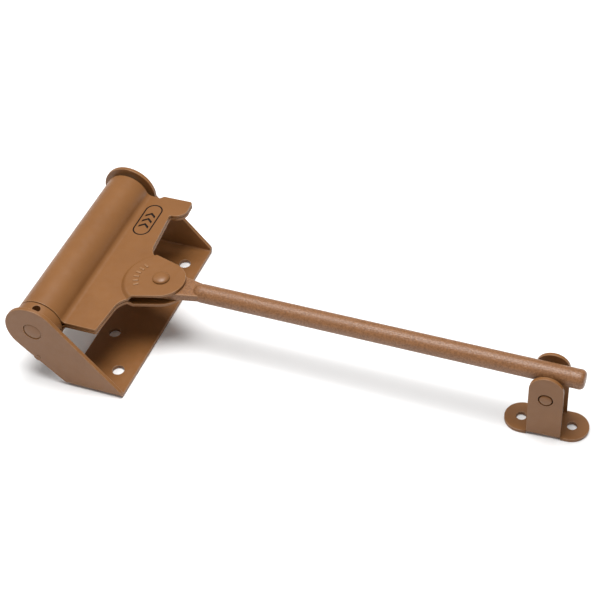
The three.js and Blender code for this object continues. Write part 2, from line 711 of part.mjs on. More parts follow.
const doorSide = new THREE.Group();
doorSide.position.set(DOOR_X, DOOR_Y, 0);
doorSide.rotation.z = DOOR_TURN;
doorSide.add(doorBracket(), rollerPin(), roller());
closer.add(doorSide);

export default closer;
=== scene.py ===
"""Looks of a spring door closer: an add-on whose operators each make a piece or two around its frame."""
import json
import math

import bmesh
import bpy
from bpy.props import FloatProperty, FloatVectorProperty, IntProperty, PointerProperty
from mathutils import Matrix, Vector, noise


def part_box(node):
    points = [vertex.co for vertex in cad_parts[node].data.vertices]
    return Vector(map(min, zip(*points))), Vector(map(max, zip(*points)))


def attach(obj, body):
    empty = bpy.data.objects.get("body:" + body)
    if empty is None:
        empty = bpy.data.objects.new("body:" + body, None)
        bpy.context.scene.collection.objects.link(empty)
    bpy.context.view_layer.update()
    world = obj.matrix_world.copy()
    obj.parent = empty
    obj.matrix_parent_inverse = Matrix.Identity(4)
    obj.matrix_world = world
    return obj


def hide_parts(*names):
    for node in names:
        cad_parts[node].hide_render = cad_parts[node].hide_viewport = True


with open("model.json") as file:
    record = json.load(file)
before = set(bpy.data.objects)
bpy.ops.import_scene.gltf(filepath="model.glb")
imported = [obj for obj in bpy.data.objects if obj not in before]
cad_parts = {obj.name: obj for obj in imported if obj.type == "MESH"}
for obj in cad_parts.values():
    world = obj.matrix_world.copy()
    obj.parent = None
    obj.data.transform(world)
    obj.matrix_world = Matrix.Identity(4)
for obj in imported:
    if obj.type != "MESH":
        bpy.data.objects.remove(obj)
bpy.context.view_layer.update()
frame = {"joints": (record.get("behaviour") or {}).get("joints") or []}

bl_info = {
    "name": "Spring door closer",
    "version": (1, 0, 0),
    "blender": (4, 5, 0),
    "location": "View3D > Sidebar > Door closer",
    "description": "Models the pieces of a spring door closer around its frame",
    "category": "Object",
}

MM = 0.001
Y_AXIS = Vector((0, 1, 0))
Z_AXIS = Vector((0, 0, 1))
ARC_STEP = math.radians(5)
WELD = 1e-6
# Face layer for the lighter edge tone: partly edge wear, partly painted highlight
WEAR_AND_HIGHLIGHT_ATTRIBUTE = "edge_wear_and_highlight_mask"
LIGHTER_PATCH = 1.02
ALONG_Y = Matrix.Rotation(-math.pi / 2, 4, "X")

# Rounded edges, staked ends and running gaps
BRACKET_EDGE = 0.28 * MM
BARREL_EDGE = 0.25 * MM
DOOR_EDGE = 0.25 * MM
EYE_EDGE = 0.5 * MM
SPINDLE_RISE, SPINDLE_EDGE = 0.30 * MM, 0.5 * MM
ROLLER_PIN_RISE, ROLLER_PIN_EDGE = 0.20 * MM, 0.80 * MM
ROLLER_PIN_PROUD = 0.4 * MM
STOP_EDGE = 0.3 * MM
WASHER_EDGE = 0.2 * MM
COLLAR_EDGE, COLLAR_HOLE_EDGE = 0.35 * MM, 0.15 * MM
DRILL_EDGE = 0.1 * MM
LOCK_EDGE = 0.4 * MM
PLUG_EDGE = 0.3 * MM
ROLLER_EDGE, ROLLER_WAIST, ROLLER_SIDE_GAP = 0.45 * MM, 0.25 * MM, 0.4 * MM
SPRING_RUNNING_GAP = 0.4 * MM

# The flap's free edge
NEAR_CORNER_ROUND = 0.8 * MM
TAB_LEAN = 0.8 * MM
TAB_ROOT_ROUND, TAB_TIP_ROUND = 1.0 * MM, 1.2 * MM
NOTCH_REACH, NOTCH_DEPTH, NOTCH_ROUND = 1.8 * MM, 0.5 * MM, 0.6 * MM

# The printed outline, its chevrons and the raised ticks
PRINT_FILM, PRINT_SUNK = 0.05 * MM, 0.4
PRINT_FROM_BARREL, PRINT_FROM_END = 8.0 * MM, 18.2 * MM
CHEVRON_REACH, CHEVRON_RISE, CHEVRON_PITCH = 2.7 * MM, 2.2 * MM, 4.2 * MM
CHEVRON_STROKE = 1.15 * MM * 1.3
TICK_FIRST, TICK_PITCH = 150, 13
TICK_REACH, TICK_EDGE = 12.6 * MM, 0.34 * MM
TICK_SIZE = (3.0 * MM, 1.3 * MM, 0.8 * MM)

# The rivet's domed heads
DOME_WALL = 0.25 * MM
SEAT_CHAMFER, SEAT_INSET = 0.1 * MM, 0.12 * MM

# The rod's peeled skin and the root of its eye
PEEL_PITCH = 0.5 * MM
PEEL_GRAIN, PEEL_WAVE = 1100, 90
EYE_ROOT_OVERLAP, EYE_ROOT_INSET = 1.0 * MM, 0.15 * MM
CHAMFER_FULLNESS = 0.85

# The stage
FLOOR_SIZE, FLOOR_DROP = 3.0, 0.1 * MM
LIGHT_AIM = Vector((0.05, 0.0, 0.0))
LIGHTS = (
    {"name": "top_softbox", "spot": (0.05, 0.0, 1.2), "width": 0.8, "power": 20.0},
    {"name": "left_softbox", "spot": (-0.9, 0.0, 0.75), "width": 0.7, "power": 1.5},
)
WORLD_STRENGTH = 0.33
CAMERA_AZIMUTH, CAMERA_ELEVATION = math.radians(24.163), math.radians(43.868)
CAMERA_ROLL = math.radians(-4.684)
CAMERA_TARGET = Vector((73.466, 34.820, 0)) * MM
CAMERA_DISTANCE = 784.17 * MM
CAMERA_SENSOR, CAMERA_LENS = 36.0, 91.31724

# Places that come from the frame
joints = {joint["name"]: joint for joint in frame["joints"]}
SPINDLE_AT = Vector(joints["barrel_turn"]["pos_m"])
PIVOT_AT = Vector(joints["arm_pivot"]["pos_m"])
ROLLER_AT = Vector(joints["bracket_tilt"]["pos_m"])
PLATE_UP = Vector(joints["arm_pivot"]["axis"]).normalized()
ROD_WAY = Vector(joints["bracket_slide"]["axis"]).normalized()
ROLLER_AXIS = Vector(joints["bracket_tilt"]["axis"]).normalized()
LOCK_WAY = Vector(joints["lock_pin_pull"]["axis"]).normalized()

base_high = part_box("mounting_bracket")[1]
HALF_LENGTH = base_high.y
HALF_WIDTH = base_high.x
EAR_RADIUS = base_high.z - SPINDLE_AT.z
barrel_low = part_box("barrel_shell")[0]
BARREL_NEAR = barrel_low.y
BARREL_RADIUS = SPINDLE_AT.x - barrel_low.x
collar_low, collar_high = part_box("tension_collar")
plug_low, plug_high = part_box("end_plug")
washer_low, washer_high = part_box("far_thrust_washer")
stop_low, stop_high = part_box("stop_pin")
lock_low, lock_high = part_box("lock_pin")
spindle_low, spindle_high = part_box("spindle")
SPINDLE_RADIUS = (spindle_high.x - spindle_low.x) / 2
STOP_AT = (stop_low + stop_high) / 2
STOP_RADIUS = (stop_high.x - stop_low.x) / 2
rivet_low, rivet_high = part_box("clevis_rivet")
RIVET_HEAD = (rivet_high.y - rivet_low.y) / 2
RIVET_REACH = (rivet_high.z - rivet_low.z) / 2
EAR_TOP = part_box("door_bracket")[1].z
roller_low, roller_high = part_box("roller")
ROLLER_RADIUS = (roller_high.z - roller_low.z) / 2
pin_low, pin_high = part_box("roller_pin")
ROLLER_PIN_RADIUS = (pin_high.z - pin_low.z) / 2


def frame_matrix(origin, along, up):
    """A matrix that sets X along one way and Z along another."""
    across = up.cross(along).normalized()
    turn = Matrix((across.cross(up), across, up)).transposed()
    return Matrix.Translation(origin) @ turn.to_4x4()


def set_along(origin, way):
    """A matrix that moves to a place and turns Z along a way."""
    return Matrix.Translation(origin) @ way.to_track_quat("Z", "Y").to_matrix().to_4x4()


SPINDLE_SPACE = Matrix.Translation((SPINDLE_AT.x, 0, SPINDLE_AT.z)) @ ALONG_Y
BARREL_SPACE = frame_matrix(SPINDLE_AT, Y_AXIS.cross(PLATE_UP), PLATE_UP)
ROD_SPACE = frame_matrix(PIVOT_AT, ROD_WAY, PLATE_UP)
DOOR_SPACE = frame_matrix(Vector((ROLLER_AT.x, ROLLER_AT.y, 0)), ROLLER_AXIS.cross(Z_AXIS), Z_AXIS)
PIVOT_IN_BARREL = BARREL_SPACE.inverted() @ PIVOT_AT
ROD_LENGTH = (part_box("arm_rod")[1].x - PIVOT_AT.x) / ROD_WAY.x


# ---------------------------------------------------------------- sizes and colours


def size(name, description, millimetres):
    """A length that a user can change, given in millimetres."""
    return FloatProperty(
        name=name,
        description=description,
        default=millimetres * MM,
        unit="LENGTH",
        subtype="DISTANCE",
        precision=5,
    )


def slope(name, description, degrees):
    """An angle that a user can change, given in degrees."""
    value = math.radians(degrees)
    return FloatProperty(name=name, description=description, default=value, subtype="ANGLE")


def colour(name, description, value):
    """A colour that a user can change."""
    return FloatVectorProperty(
        name=name, description=description, default=value, size=3, min=0.0, max=1.0, subtype="COLOR"
    )


class CloserSizes(bpy.types.PropertyGroup):
    """Sizes of the closer's pieces that the frame does not give"""

    base_sheet: size("Base sheet", "Thickness of the mounting bracket", 2.0)
    base_bend: size("Base bend", "Inner bend radius of the mounting bracket", 0.8)
    base_hole: size("Base hole", "Diameter of the screw holes in the base", 6.0)
    outer_hole_x: size("Outer hole", "Place across the base of its outer holes", 6.0)
    outer_hole_inset: size("Outer hole inset", "From the outside of an ear to an outer hole", 15.4)
    inner_hole_x: size("Inner hole", "Place across the base of its inner holes", -7.2)
    inner_hole_inset: size("Inner hole inset", "From the outside of an ear to an inner hole", 38.6)
    ear_foot: size("Ear foot", "Straight foot of an ear", 3.2)
    ear_foot_round: size("Ear foot round", "Radius at the foot of an ear", 4.0)
    hollow_reach: size("Hollow reach", "From the spindle to the low end of the far ear's hollow", 27.0)
    hollow_drop: size("Hollow drop", "From the spindle down to the hollow's deepest corner", 1.5)
    hollow_round: size("Hollow round", "Radius at both ends of the hollow", 2.5)
    stop_lobe: size("Stop lobe", "Radius of the lobe that holds the stop pin", 2.6)
    fit_gap: size("Fit gap", "Gap between pieces that seat in each other", 0.3)
    staked_gap: size("Staked gap", "Gap left round a staked end", 0.05)
    barrel_sheet: size("Barrel sheet", "Thickness of the barrel and its flaps", 1.5)
    flap_slit: size("Flap slit", "Gap between the two flaps", 0.3)
    flap_fillet: size("Valley round", "Radius of the valley between barrel and flap", 3.0)
    clevis_round: size("Clevis round", "Radius of the clevis end", 12.2)
    clevis_flare: slope("Clevis flare", "Slope of the clevis sides", 16)
    boss_radius: size("Boss radius", "Outer radius of the joggle round the rivet", 20.1)
    boss_ramp: size("Boss ramp", "Width of the joggle's slope", 2.9)
    tongue_thickness: size("Tongue thickness", "Thickness of the flattened end of the rod", 4.0)
    neck_reach: size("Neck reach", "From the spindle to the edge beside the clevis", 32.0)
    neck_fillet: size("Neck fillet", "Radius where the clevis leaves the edge", 9.0)
    edge_taper: slope("Edge taper", "Slope of the free edge", 5)
    tab_root_inset: size("Tab root", "From the barrel's far end to the root of the tab", 11.6)
    tab_reach: size("Tab reach", "From the spindle to the tip of the tab", 37.3)
    tab_round: size("Tab round", "Radius of the tab's corner", 6.0)
    tab_proud: size("Tab proud", "How far the tab passes the barrel's far end", 1.4)
    tab_step_reach: size("Tab step", "From the spindle to the step beside the tab", 20.4)
    rivet_diameter: size("Rivet diameter", "Shank of the clevis rivet", 6.0)
    rod_diameter: size("Rod diameter", "Diameter of the arm rod", 9.5)
    rod_chamfer: size("Rod chamfer", "Rounding of the rod's free end", 2.3)
    tongue_round: size("Tongue round", "Radius of the rod's eye", 8.6)
    shoulder_start: size("Shoulder start", "From the rivet to the tip of the round bar", 17.0)
    shoulder_end: size("Shoulder end", "From the rivet to the full round bar", 22.0)
    collar_hole: size("Collar hole", "Diameter of the tommy-bar holes", 4.0)
    collar_hole_depth: size("Collar hole depth", "Depth of the tommy-bar holes", 5.2)
    collar_hub: size("Collar hub", "Length of the collar inside the barrel", 6.0)
    groove_depth: size("Groove depth", "Depth of the grooves for the spring", 3.2)
    groove_wall: size("Groove wall", "Wall beside the spring's grooves", 0.675)
    lock_diameter: size("Lock pin diameter", "Shank of the lock pin", 3.0)
    lock_head: size("Lock pin head", "Diameter of the lock pin's head", 5.0)
    lock_head_length: size("Lock pin head length", "Length of the lock pin's head", 2.0)
    coil_gap: size("Coil gap", "Gap between the spring's coils", 1.1)
    door_length: size("Door bracket length", "Length of the door bracket's base", 40.0)
    door_width: size("Door bracket width", "Width of the door bracket's base", 17.6)
    door_sheet: size("Door bracket sheet", "Thickness of the door bracket", 1.8)
    door_bend: size("Door bracket bend", "Inner bend radius of the door bracket", 0.8)
    door_hole: size("Door bracket hole", "Diameter of its screw holes", 4.8)
    door_spacing: size("Door hole spacing", "Distance between its screw holes", 24.0)
    door_ear: size("Door bracket ear", "Width of its ears", 16.0)
    door_relief: size("Door bracket relief", "Width of the cut beside an ear", 0.08)
    emblem_length: size("Emblem length", "Length of the printed outline", 24.0)
    emblem_width: size("Emblem width", "Width of the printed outline", 9.4)
    emblem_line: size("Emblem line", "Width of the printed line", 0.75)
    rivet_rim: size("Rivet rim", "Space left round each head of the clevis rivet", 0.3)
    door_pin_drop: size("Door pin drop", "How far the roller pin sits low in its holes", 0.2)
    peel_depth: size("Peel depth", "Depth of the rod's orange peel", 0.06)
    tick_count: IntProperty(name="Tick count", description="Raised ticks on the boss", default=6, min=0)


class CloserColours(bpy.types.PropertyGroup):
    """Colours of the closer's finishes"""

    paint: colour("Tan paint", "Satin paint of the sheet pieces", (0.212, 0.089, 0.0255))
    paint_dark: colour("Tan paint, deep", "Tone in the paint's hollows", (0.188, 0.077, 0.0210))
    # Lighter tone along rounded edges: partly thin worn paint, partly painted highlight
    paint_edge_wear_and_highlight: colour("Tan paint, edge", "Thin paint along sharp edges", (0.27, 0.135, 0.058))
    rod: colour("Rod paint", "Paint on the arm rod", (0.250, 0.112, 0.044))
    # Painted shade: darker tone put in the pits of the rod's peel
    rod_pit_shade: colour("Rod paint, deep", "Paint in the pits of the rod", (0.160, 0.066, 0.021))
    ink: colour("Ink", "Printed outline", (0.0065, 0.0030, 0.0020))
    ink_thin: colour("Ink, thin", "Printed outline where the ink is thin", (0.018, 0.008, 0.005))
    zinc: colour("Zinc", "Plated steel", (0.50, 0.49, 0.46))
    zinc_dull: colour("Zinc, dull", "Plated steel where it has gone dull", (0.36, 0.35, 0.32))
    spring: colour("Spring", "Oiled spring wire", (0.13, 0.13, 0.14))
    spring_oil: colour("Spring, oiled", "Spring wire under thick oil", (0.07, 0.065, 0.06))
    nylon: colour("Nylon", "Roller", (0.032, 0.028, 0.026))
    nylon_scuff: colour("Nylon, scuffed", "Roller where the rod rubs", (0.085, 0.075, 0.068))
    floor: colour("Floor", "Pale floor", (0.86, 0.86, 0.86))


def sizes():
    """The closer's sizes as they are set in this scene."""
    return bpy.context.scene.closer_sizes


def colours():
    """The closer's colours as they are set in this scene."""
    return bpy.context.scene.closer_colours


# ---------------------------------------------------------------- finishes


def nodes_of(name):
    """A new material with its tree, its shader and a source of object coordinates."""
    material = bpy.data.materials.new(name)
    material.use_nodes = True
    tree = material.node_tree
    shader = tree.nodes["Principled BSDF"]
    place = tree.nodes.new("ShaderNodeTexCoord")
    return material, tree, shader, place.outputs["Object"]


def noise_node(tree, place, scale, detail=3.0, roughness=0.5, distortion=0.0):
    """A noise over the object's own space, as a factor."""
    node = tree.nodes.new("ShaderNodeTexNoise")
    node.inputs["Scale"].default_value = scale
    node.inputs["Detail"].default_value = detail
    node.inputs["Roughness"].default_value = roughness
    node.inputs["Distortion"].default_value = distortion
    tree.links.new(place, node.inputs["Vector"])
    return node.outputs["Fac"]


def ramp_node(tree, factor, low, high, low_value=0.0, high_value=1.0):
    """Maps a stretch of a factor onto a range of values."""
    node = tree.nodes.new("ShaderNodeMapRange")
    node.inputs["From Min"].default_value = low
    node.inputs["From Max"].default_value = high
    node.inputs["To Min"].default_value = low_value
    node.inputs["To Max"].default_value = high_value
    tree.links.new(factor, node.inputs["Value"])
    return node.outputs["Result"]


def mix_node(tree, factor, first, second):
    """Mixes two colours, each a colour or another node's output."""
    node = tree.nodes.new("ShaderNodeMix")
    node.data_type = "RGBA"
    tree.links.new(factor, node.inputs["Factor"])
    for socket, value in ((node.inputs["A"], first), (node.inputs["B"], second)):
        if isinstance(value, bpy.types.NodeSocket):
            tree.links.new(value, socket)
        else:
            socket.default_value = (*value, 1.0)
    return node.outputs["Result"]


def bump_node(tree, height, distance, strength, before=None):
    """Turns a height into a normal, on top of another bump if there is one."""
    node = tree.nodes.new("ShaderNodeBump")
    node.inputs["Distance"].default_value = distance
    node.inputs["Strength"].default_value = strength
    tree.links.new(height, node.inputs["Height"])
    if before is not None:
        tree.links.new(before, node.inputs["Normal"])
    return node.outputs["Normal"]


def edge_wear_and_highlight_share(tree, place):
    """How much of the lighter edge tone a surface gets, partly edge wear and partly painted highlight:
    where it lies on a rounded edge, broken up by a fine noise.
    """
    attribute = tree.nodes.new("ShaderNodeAttribute")
    attribute.attribute_name = WEAR_AND_HIGHLIGHT_ATTRIBUTE
    grain = noise_node(tree, place, scale=900.0)
    broken = ramp_node(tree, grain, low=0.35, high=0.6, low_value=0.35)
    product = tree.nodes.new("ShaderNodeMath")
    product.operation = "MULTIPLY"
    tree.links.new(attribute.outputs["Fac"], product.inputs[0])
    tree.links.new(broken, product.inputs[1])
    return product.outputs["Value"]


def satin_paint():
    """Satin tan paint: faint clouding, a fine peel and a lighter tone along the edges, partly thinner
    paint and partly painted highlight.
    """
    material, tree, shader, place = nodes_of("satin_tan_paint")
    tones = colours()
    clouding = noise_node(tree, place, scale=55.0, detail=4.0, roughness=0.55)
    cloud = ramp_node(tree, clouding, low=0.3, high=0.72)
    body = mix_node(tree, cloud, tones.paint_dark, tones.paint)
    # Lighter edge tone: partly edge wear, partly painted highlight
    wear_and_highlight = mix_node(tree, edge_wear_and_highlight_share(tree, place), body, tones.paint_edge_wear_and_highlight)
    tree.links.new(wear_and_highlight, shader.inputs["Base Color"])
    sheen = noise_node(tree, place, scale=320.0)
    gloss = ramp_node(tree, sheen, low=0.3, high=0.7, low_value=0.36, high_value=0.47)
    tree.links.new(gloss, shader.inputs["Roughness"])
    fine = noise_node(tree, place, scale=1250.0, detail=2.0)
    peel = bump_node(tree, fine, distance=0.06 * MM, strength=0.35)
    coarse = noise_node(tree, place, scale=190.0, detail=2.0)
    wave = bump_node(tree, coarse, distance=0.20 * MM, strength=0.30, before=peel)
    tree.links.new(wave, shader.inputs["Normal"])
    shader.inputs["Specular IOR Level"].default_value = 0.42
    return material


def rod_paint():
    """Paint over a rough rolled bar: pits between raised blisters that catch the light, with the colour
    also painted darker in the pits as shade and lighter on the blisters as highlight.
    """
    material, tree, shader, place = nodes_of("peeled_rod_paint")
    tones = colours()
    blister = noise_node(tree, place, scale=1250.0, roughness=0.6, distortion=0.4)
    # Painted shade and highlight: the colour follows the blister height, darker in the pits, lighter on
    # the raised blisters
    raised = ramp_node(tree, blister, low=0.36, high=0.62)
    body = mix_node(tree, raised, tones.rod_pit_shade, tones.rod)
    # Lighter edge tone: partly edge wear, partly painted highlight
    wear_and_highlight = mix_node(tree, edge_wear_and_highlight_share(tree, place), body, tones.paint_edge_wear_and_highlight)
    tree.links.new(wear_and_highlight, shader.inputs["Base Color"])
    gloss = ramp_node(tree, blister, low=0.3, high=0.7, low_value=0.50, high_value=0.30)
    tree.links.new(gloss, shader.inputs["Roughness"])
    coarse = bump_node(tree, blister, distance=0.26 * MM, strength=0.8)
    grain = noise_node(tree, place, scale=2100.0, detail=2.0)
    fine = bump_node(tree, grain, distance=0.08 * MM, strength=0.4, before=coarse)
    tree.links.new(fine, shader.inputs["Normal"])
    shader.inputs["Specular IOR Level"].default_value = 0.5
    return material


def printing_ink():
    """Dark ink with a slightly broken body."""
    material, tree, shader, place = nodes_of("printing_ink")
    grain = ramp_node(tree, noise_node(tree, place, scale=1500.0), low=0.35, high=0.75)
    tone = mix_node(tree, grain, colours().ink, colours().ink_thin)
    tree.links.new(tone, shader.inputs["Base Color"])
    relief = bump_node(tree, grain, distance=0.02 * MM, strength=0.3)
    tree.links.new(relief, shader.inputs["Normal"])
    shader.inputs["Roughness"].default_value = 0.6
    shader.inputs["Specular IOR Level"].default_value = 0.15
    return material


def plated_steel():
    """Zinc plate that has gone dull in spots."""
    material, tree, shader, place = nodes_of("zinc_plated_steel")
    spots = ramp_node(tree, noise_node(tree, place, scale=260.0, detail=4.0), low=0.35, high=0.7)
    tone = mix_node(tree, spots, colours().zinc_dull, colours().zinc)
    tree.links.new(tone, shader.inputs["Base Color"])
    gloss = ramp_node(tree, spots, low=0.0, high=1.0, low_value=0.46, high_value=0.30)
    tree.links.new(gloss, shader.inputs["Roughness"])
    grain = bump_node(tree, noise_node(tree, place, scale=1800.0), distance=0.03 * MM, strength=0.4)
    tree.links.new(grain, shader.inputs["Normal"])
    shader.inputs["Metallic"].default_value = 1.0
    return material


def spring_wire():
    """Spring wire under an uneven film of oil."""
    material, tree, shader, place = nodes_of("oiled_spring_wire")
    film = ramp_node(tree, noise_node(tree, place, scale=700.0, detail=4.0), low=0.3, high=0.7)
    tone = mix_node(tree, film, colours().spring_oil, colours().spring)
    tree.links.new(tone, shader.inputs["Base Color"])
    gloss = ramp_node(tree, film, low=0.0, high=1.0, low_value=0.42, high_value=0.26)
    tree.links.new(gloss, shader.inputs["Roughness"])
    relief = bump_node(tree, film, distance=0.03 * MM, strength=0.4)
    tree.links.new(relief, shader.inputs["Normal"])
    shader.inputs["Metallic"].default_value = 0.9
    return material


def moulded_nylon():
    """Black nylon with a fine moulded grain and scuffs."""
    material, tree, shader, place = nodes_of("moulded_nylon")
    rubbed = noise_node(tree, place, scale=480.0, detail=4.0, roughness=0.6)
    scuff = ramp_node(tree, rubbed, low=0.5, high=0.75)
    tone = mix_node(tree, scuff, colours().nylon, colours().nylon_scuff)
    tree.links.new(tone, shader.inputs["Base Color"])
    gloss = ramp_node(tree, scuff, low=0.0, high=1.0, low_value=0.42, high_value=0.62)
    tree.links.new(gloss, shader.inputs["Roughness"])
    grain = bump_node(tree, noise_node(tree, place, scale=2400.0), distance=0.03 * MM, strength=0.5)
    tree.links.new(grain, shader.inputs["Normal"])
    return material


def pale_floor():
    """Smooth pale floor with patches that are barely lighter."""
    material, tree, shader, place = nodes_of("pale_floor")
    drift = noise_node(tree, place, scale=3.0)
    tone = colours().floor
    lighter = tuple(min(1.0, value * LIGHTER_PATCH) for value in tone)
    tree.links.new(mix_node(tree, drift, tone, lighter), shader.inputs["Base Color"])
    shader.inputs["Roughness"].default_value = 0.9
    shader.inputs["Specular IOR Level"].default_value = 0.1
    return material


FINISHES = {
    "tan_paint": satin_paint,
    "rod_paint": rod_paint,
    "ink": printing_ink,
    "zinc_steel": plated_steel,
    "spring_steel": spring_wire,
    "nylon": moulded_nylon,
    "floor": pale_floor,
}
made_finishes = {}


def finish_of(name):
    """The material of that finish, made when it is first asked for."""
    if name not in made_finishes:
        made_finishes[name] = FINISHES[name]()
    return made_finishes[name]


# ---------------------------------------------------------------- modelling helpers


class Outline:
    """A closed chain of edges drawn in the XY plane, straight runs and arcs, in a bmesh."""

    def __init__(self, bm, start):
        self.bm = bm
        self.first = self.last = bm.verts.new((*start, 0))

    def at(self):
        """Where the pen is."""
        return self.last.co.xy

    def line(self, to):
        """Runs straight to a point, unless the pen is there already."""
        if (Vector(to) - self.at()).length < WELD:
            return
        vert = self.bm.verts.new((*to, 0))
        self.bm.edges.new((self.last, vert))
        self.last = vert

    def arc(self, centre, angle):
        """Turns round a centre, anticlockwise if the angle is positive."""
        steps = max(2, math.ceil(abs(angle) / ARC_STEP))
        spun = bmesh.ops.spin(
            self.bm,
            geom=[self.last],
            cent=(*centre, 0),
            axis=Z_AXIS,
            angle=angle,
            steps=steps,
            use_duplicate=False,
        )
        self.last = next(item for item in spun["geom_last"] if isinstance(item, bmesh.types.BMVert))

    def arc_to(self, centre, to):
        """Turns anticlockwise round a centre to the bearing of a point."""
        here = self.at() - Vector(centre)
        there = Vector(to) - Vector(centre)
        angle = math.atan2(there.y, there.x) - math.atan2(here.y, here.x)
        self.arc(centre, angle % (2 * math.pi))

    def corner(self, corner, after, radius):
        """Runs to a corner and rounds it, ready to go on towards the next point."""
        corner, after = Vector(corner), Vector(after)
        back = (self.at() - corner).normalized()
        ahead = (after - corner).normalized()
        half = back.angle(ahead) / 2
        self.line(corner + back * radius / math.tan(half))
        centre = corner + (back + ahead).normalized() * radius / math.sin(half)
        turn = math.pi - 2 * half
        self.arc(centre, turn if ahead.cross(back) > 0 else -turn)

    def close(self):
        """Draws the last edge, back to the start."""
        self.bm.edges.new((self.last, self.first))

    def points(self):
        """The points of the open chain, from its first to its last."""
        chain, edge, vert = [], None, self.first
        while vert is not None:
            chain.append(vert.co.xy.copy())
            edge = next((other for other in vert.link_edges if other is not edge), None)
            vert = edge.other_vert(vert) if edge and vert is not self.last else None
        return chain


def touch_point(start, centre, radius, side):
    """Where a line from a point touches a circle, left (1) or right (-1) of the way to its centre."""
    way = Vector(centre) - Vector(start)
    bearing = math.atan2(way.y, way.x) + side * math.asin(radius / way.length)
    reach = math.sqrt(way.length_squared - radius**2)
    return Vector(start) + reach * Vector((math.cos(bearing), math.sin(bearing)))


def hole(bm, centre, radius, segments=48):
    """The rim of a round hole in a sheet that is about to be filled."""
    at = Matrix.Translation((*centre, 0))
    bmesh.ops.create_circle(bm, cap_ends=False, radius=radius, segments=segments, matrix=at)


def fill(bm):
    """Fills the outlines that have no faces yet, with their holes left open."""
    rims = [edge for edge in bm.edges if edge.is_wire]
    bmesh.ops.triangle_fill(bm, use_beauty=True, use_dissolve=False, edges=rims, normal=Z_AXIS)


def weld(bm):
    """Joins vertices that lie in one place and turns all faces outwards."""
    bmesh.ops.remove_doubles(bm, verts=bm.verts, dist=WELD)
    bmesh.ops.recalc_face_normals(bm, faces=bm.faces)


def join_flats(bm):
    """Takes out the edges that run across flat parts of a sheet."""
    bmesh.ops.dissolve_limit(bm, angle_limit=math.radians(0.2), verts=bm.verts, edges=bm.edges)


def place(bm, matrix):
    """Moves all of a bmesh into its space."""
    bmesh.ops.transform(bm, matrix=matrix, verts=bm.verts)


def fold(bm, start, length, angle, steps=8):
    """Bends up both ends of a flat sheet, from a distance along Y, over that length."""
    for way in (-1, 1):
        folds = [start + (step + 0.5) * length / steps for step in range(steps)]
        for at in folds:
            everything = bm.verts[:] + bm.edges[:] + bm.faces[:]
            bmesh.ops.bisect_plane(
                bm, geom=everything, dist=WELD, plane_co=(0, way * at, 0), plane_no=(0, way, 0)
            )
        for at in reversed(folds):
            beyond = [vert for vert in bm.verts if way * vert.co.y > at - WELD]
            turn = Matrix.Rotation(way * angle / steps, 3, "X")
            bmesh.ops.rotate(bm, verts=beyond, cent=(0, way * at, 0), matrix=turn)


def turned(bm, profile, segments=64):
    """Turns a closed profile of (radius, place along Z) points about Z into a closed solid."""
    verts = [bm.verts.new((radius, 0, along)) for radius, along in profile]
    closes_on_axis = profile[0][0] == 0 and profile[-1][0] == 0
    edges = [bm.edges.new(pair) for pair in zip(verts, verts[1:])]
    if not closes_on_axis:
        edges.append(bm.edges.new((verts[-1], verts[0])))
    bmesh.ops.spin(
        bm,
        geom=verts + edges,
        cent=(0, 0, 0),
        axis=Z_AXIS,
        angle=2 * math.pi,
        steps=segments,
        use_merge=True,
    )
    weld(bm)


def rounded(profile_points, radius):
    """Rounds the corners of a turned profile: each inner corner becomes three points."""
    made = [profile_points[0]]
    for before, here, after in zip(profile_points, profile_points[1:], profile_points[2:]):
        corner = Vector(here)
        back, ahead = Vector(before) - corner, Vector(after) - corner
        trim = min(radius, back.length * 0.45, ahead.length * 0.45)
        start, end = corner + back.normalized() * trim, corner + ahead.normalized() * trim
        made += [tuple(start), tuple(corner * 0.3 + (start + end) * 0.35), tuple(end)]
    return made + [profile_points[-1]]


def bar_profile(radius, low, high, rounding):
    """A plain bar with rounded ends."""
    return rounded([(0, low), (radius, low), (radius, high), (0, high)], rounding)


def mesh_object(name, bm):
    """Turns a bmesh into an object in the scene, smooth shaded."""
    mesh = bpy.data.meshes.new(name)
    bm.to_mesh(mesh)
    bm.free()
    mesh.shade_smooth()
    item = bpy.data.objects.new(name, mesh)
    bpy.context.scene.collection.objects.link(item)
    return item


def apply_modifiers(item):
    """Turns the object's modifiers into its mesh."""
    graph = bpy.context.evaluated_depsgraph_get()
    mesh = bpy.data.meshes.new_from_object(item.evaluated_get(graph))
    old = item.data
    item.modifiers.clear()
    item.data = mesh
    bpy.data.meshes.remove(old)


def cut(item, tools):
    """Cuts other objects out of one and removes them."""
    for tool in tools:
        step = item.modifiers.new("cut", "BOOLEAN")
        step.operation = "DIFFERENCE"
        step.solver = "EXACT"
        step.object = tool
    apply_modifiers(item)
    for tool in tools:
        bpy.data.objects.remove(tool)


def thicken(item, thickness):
    """Gives a sheet its thickness, half on each side."""
    wall = item.modifiers.new("sheet", "SOLIDIFY")
    wall.thickness = thickness
    wall.offset = 0.0
    wall.use_even_offset = True


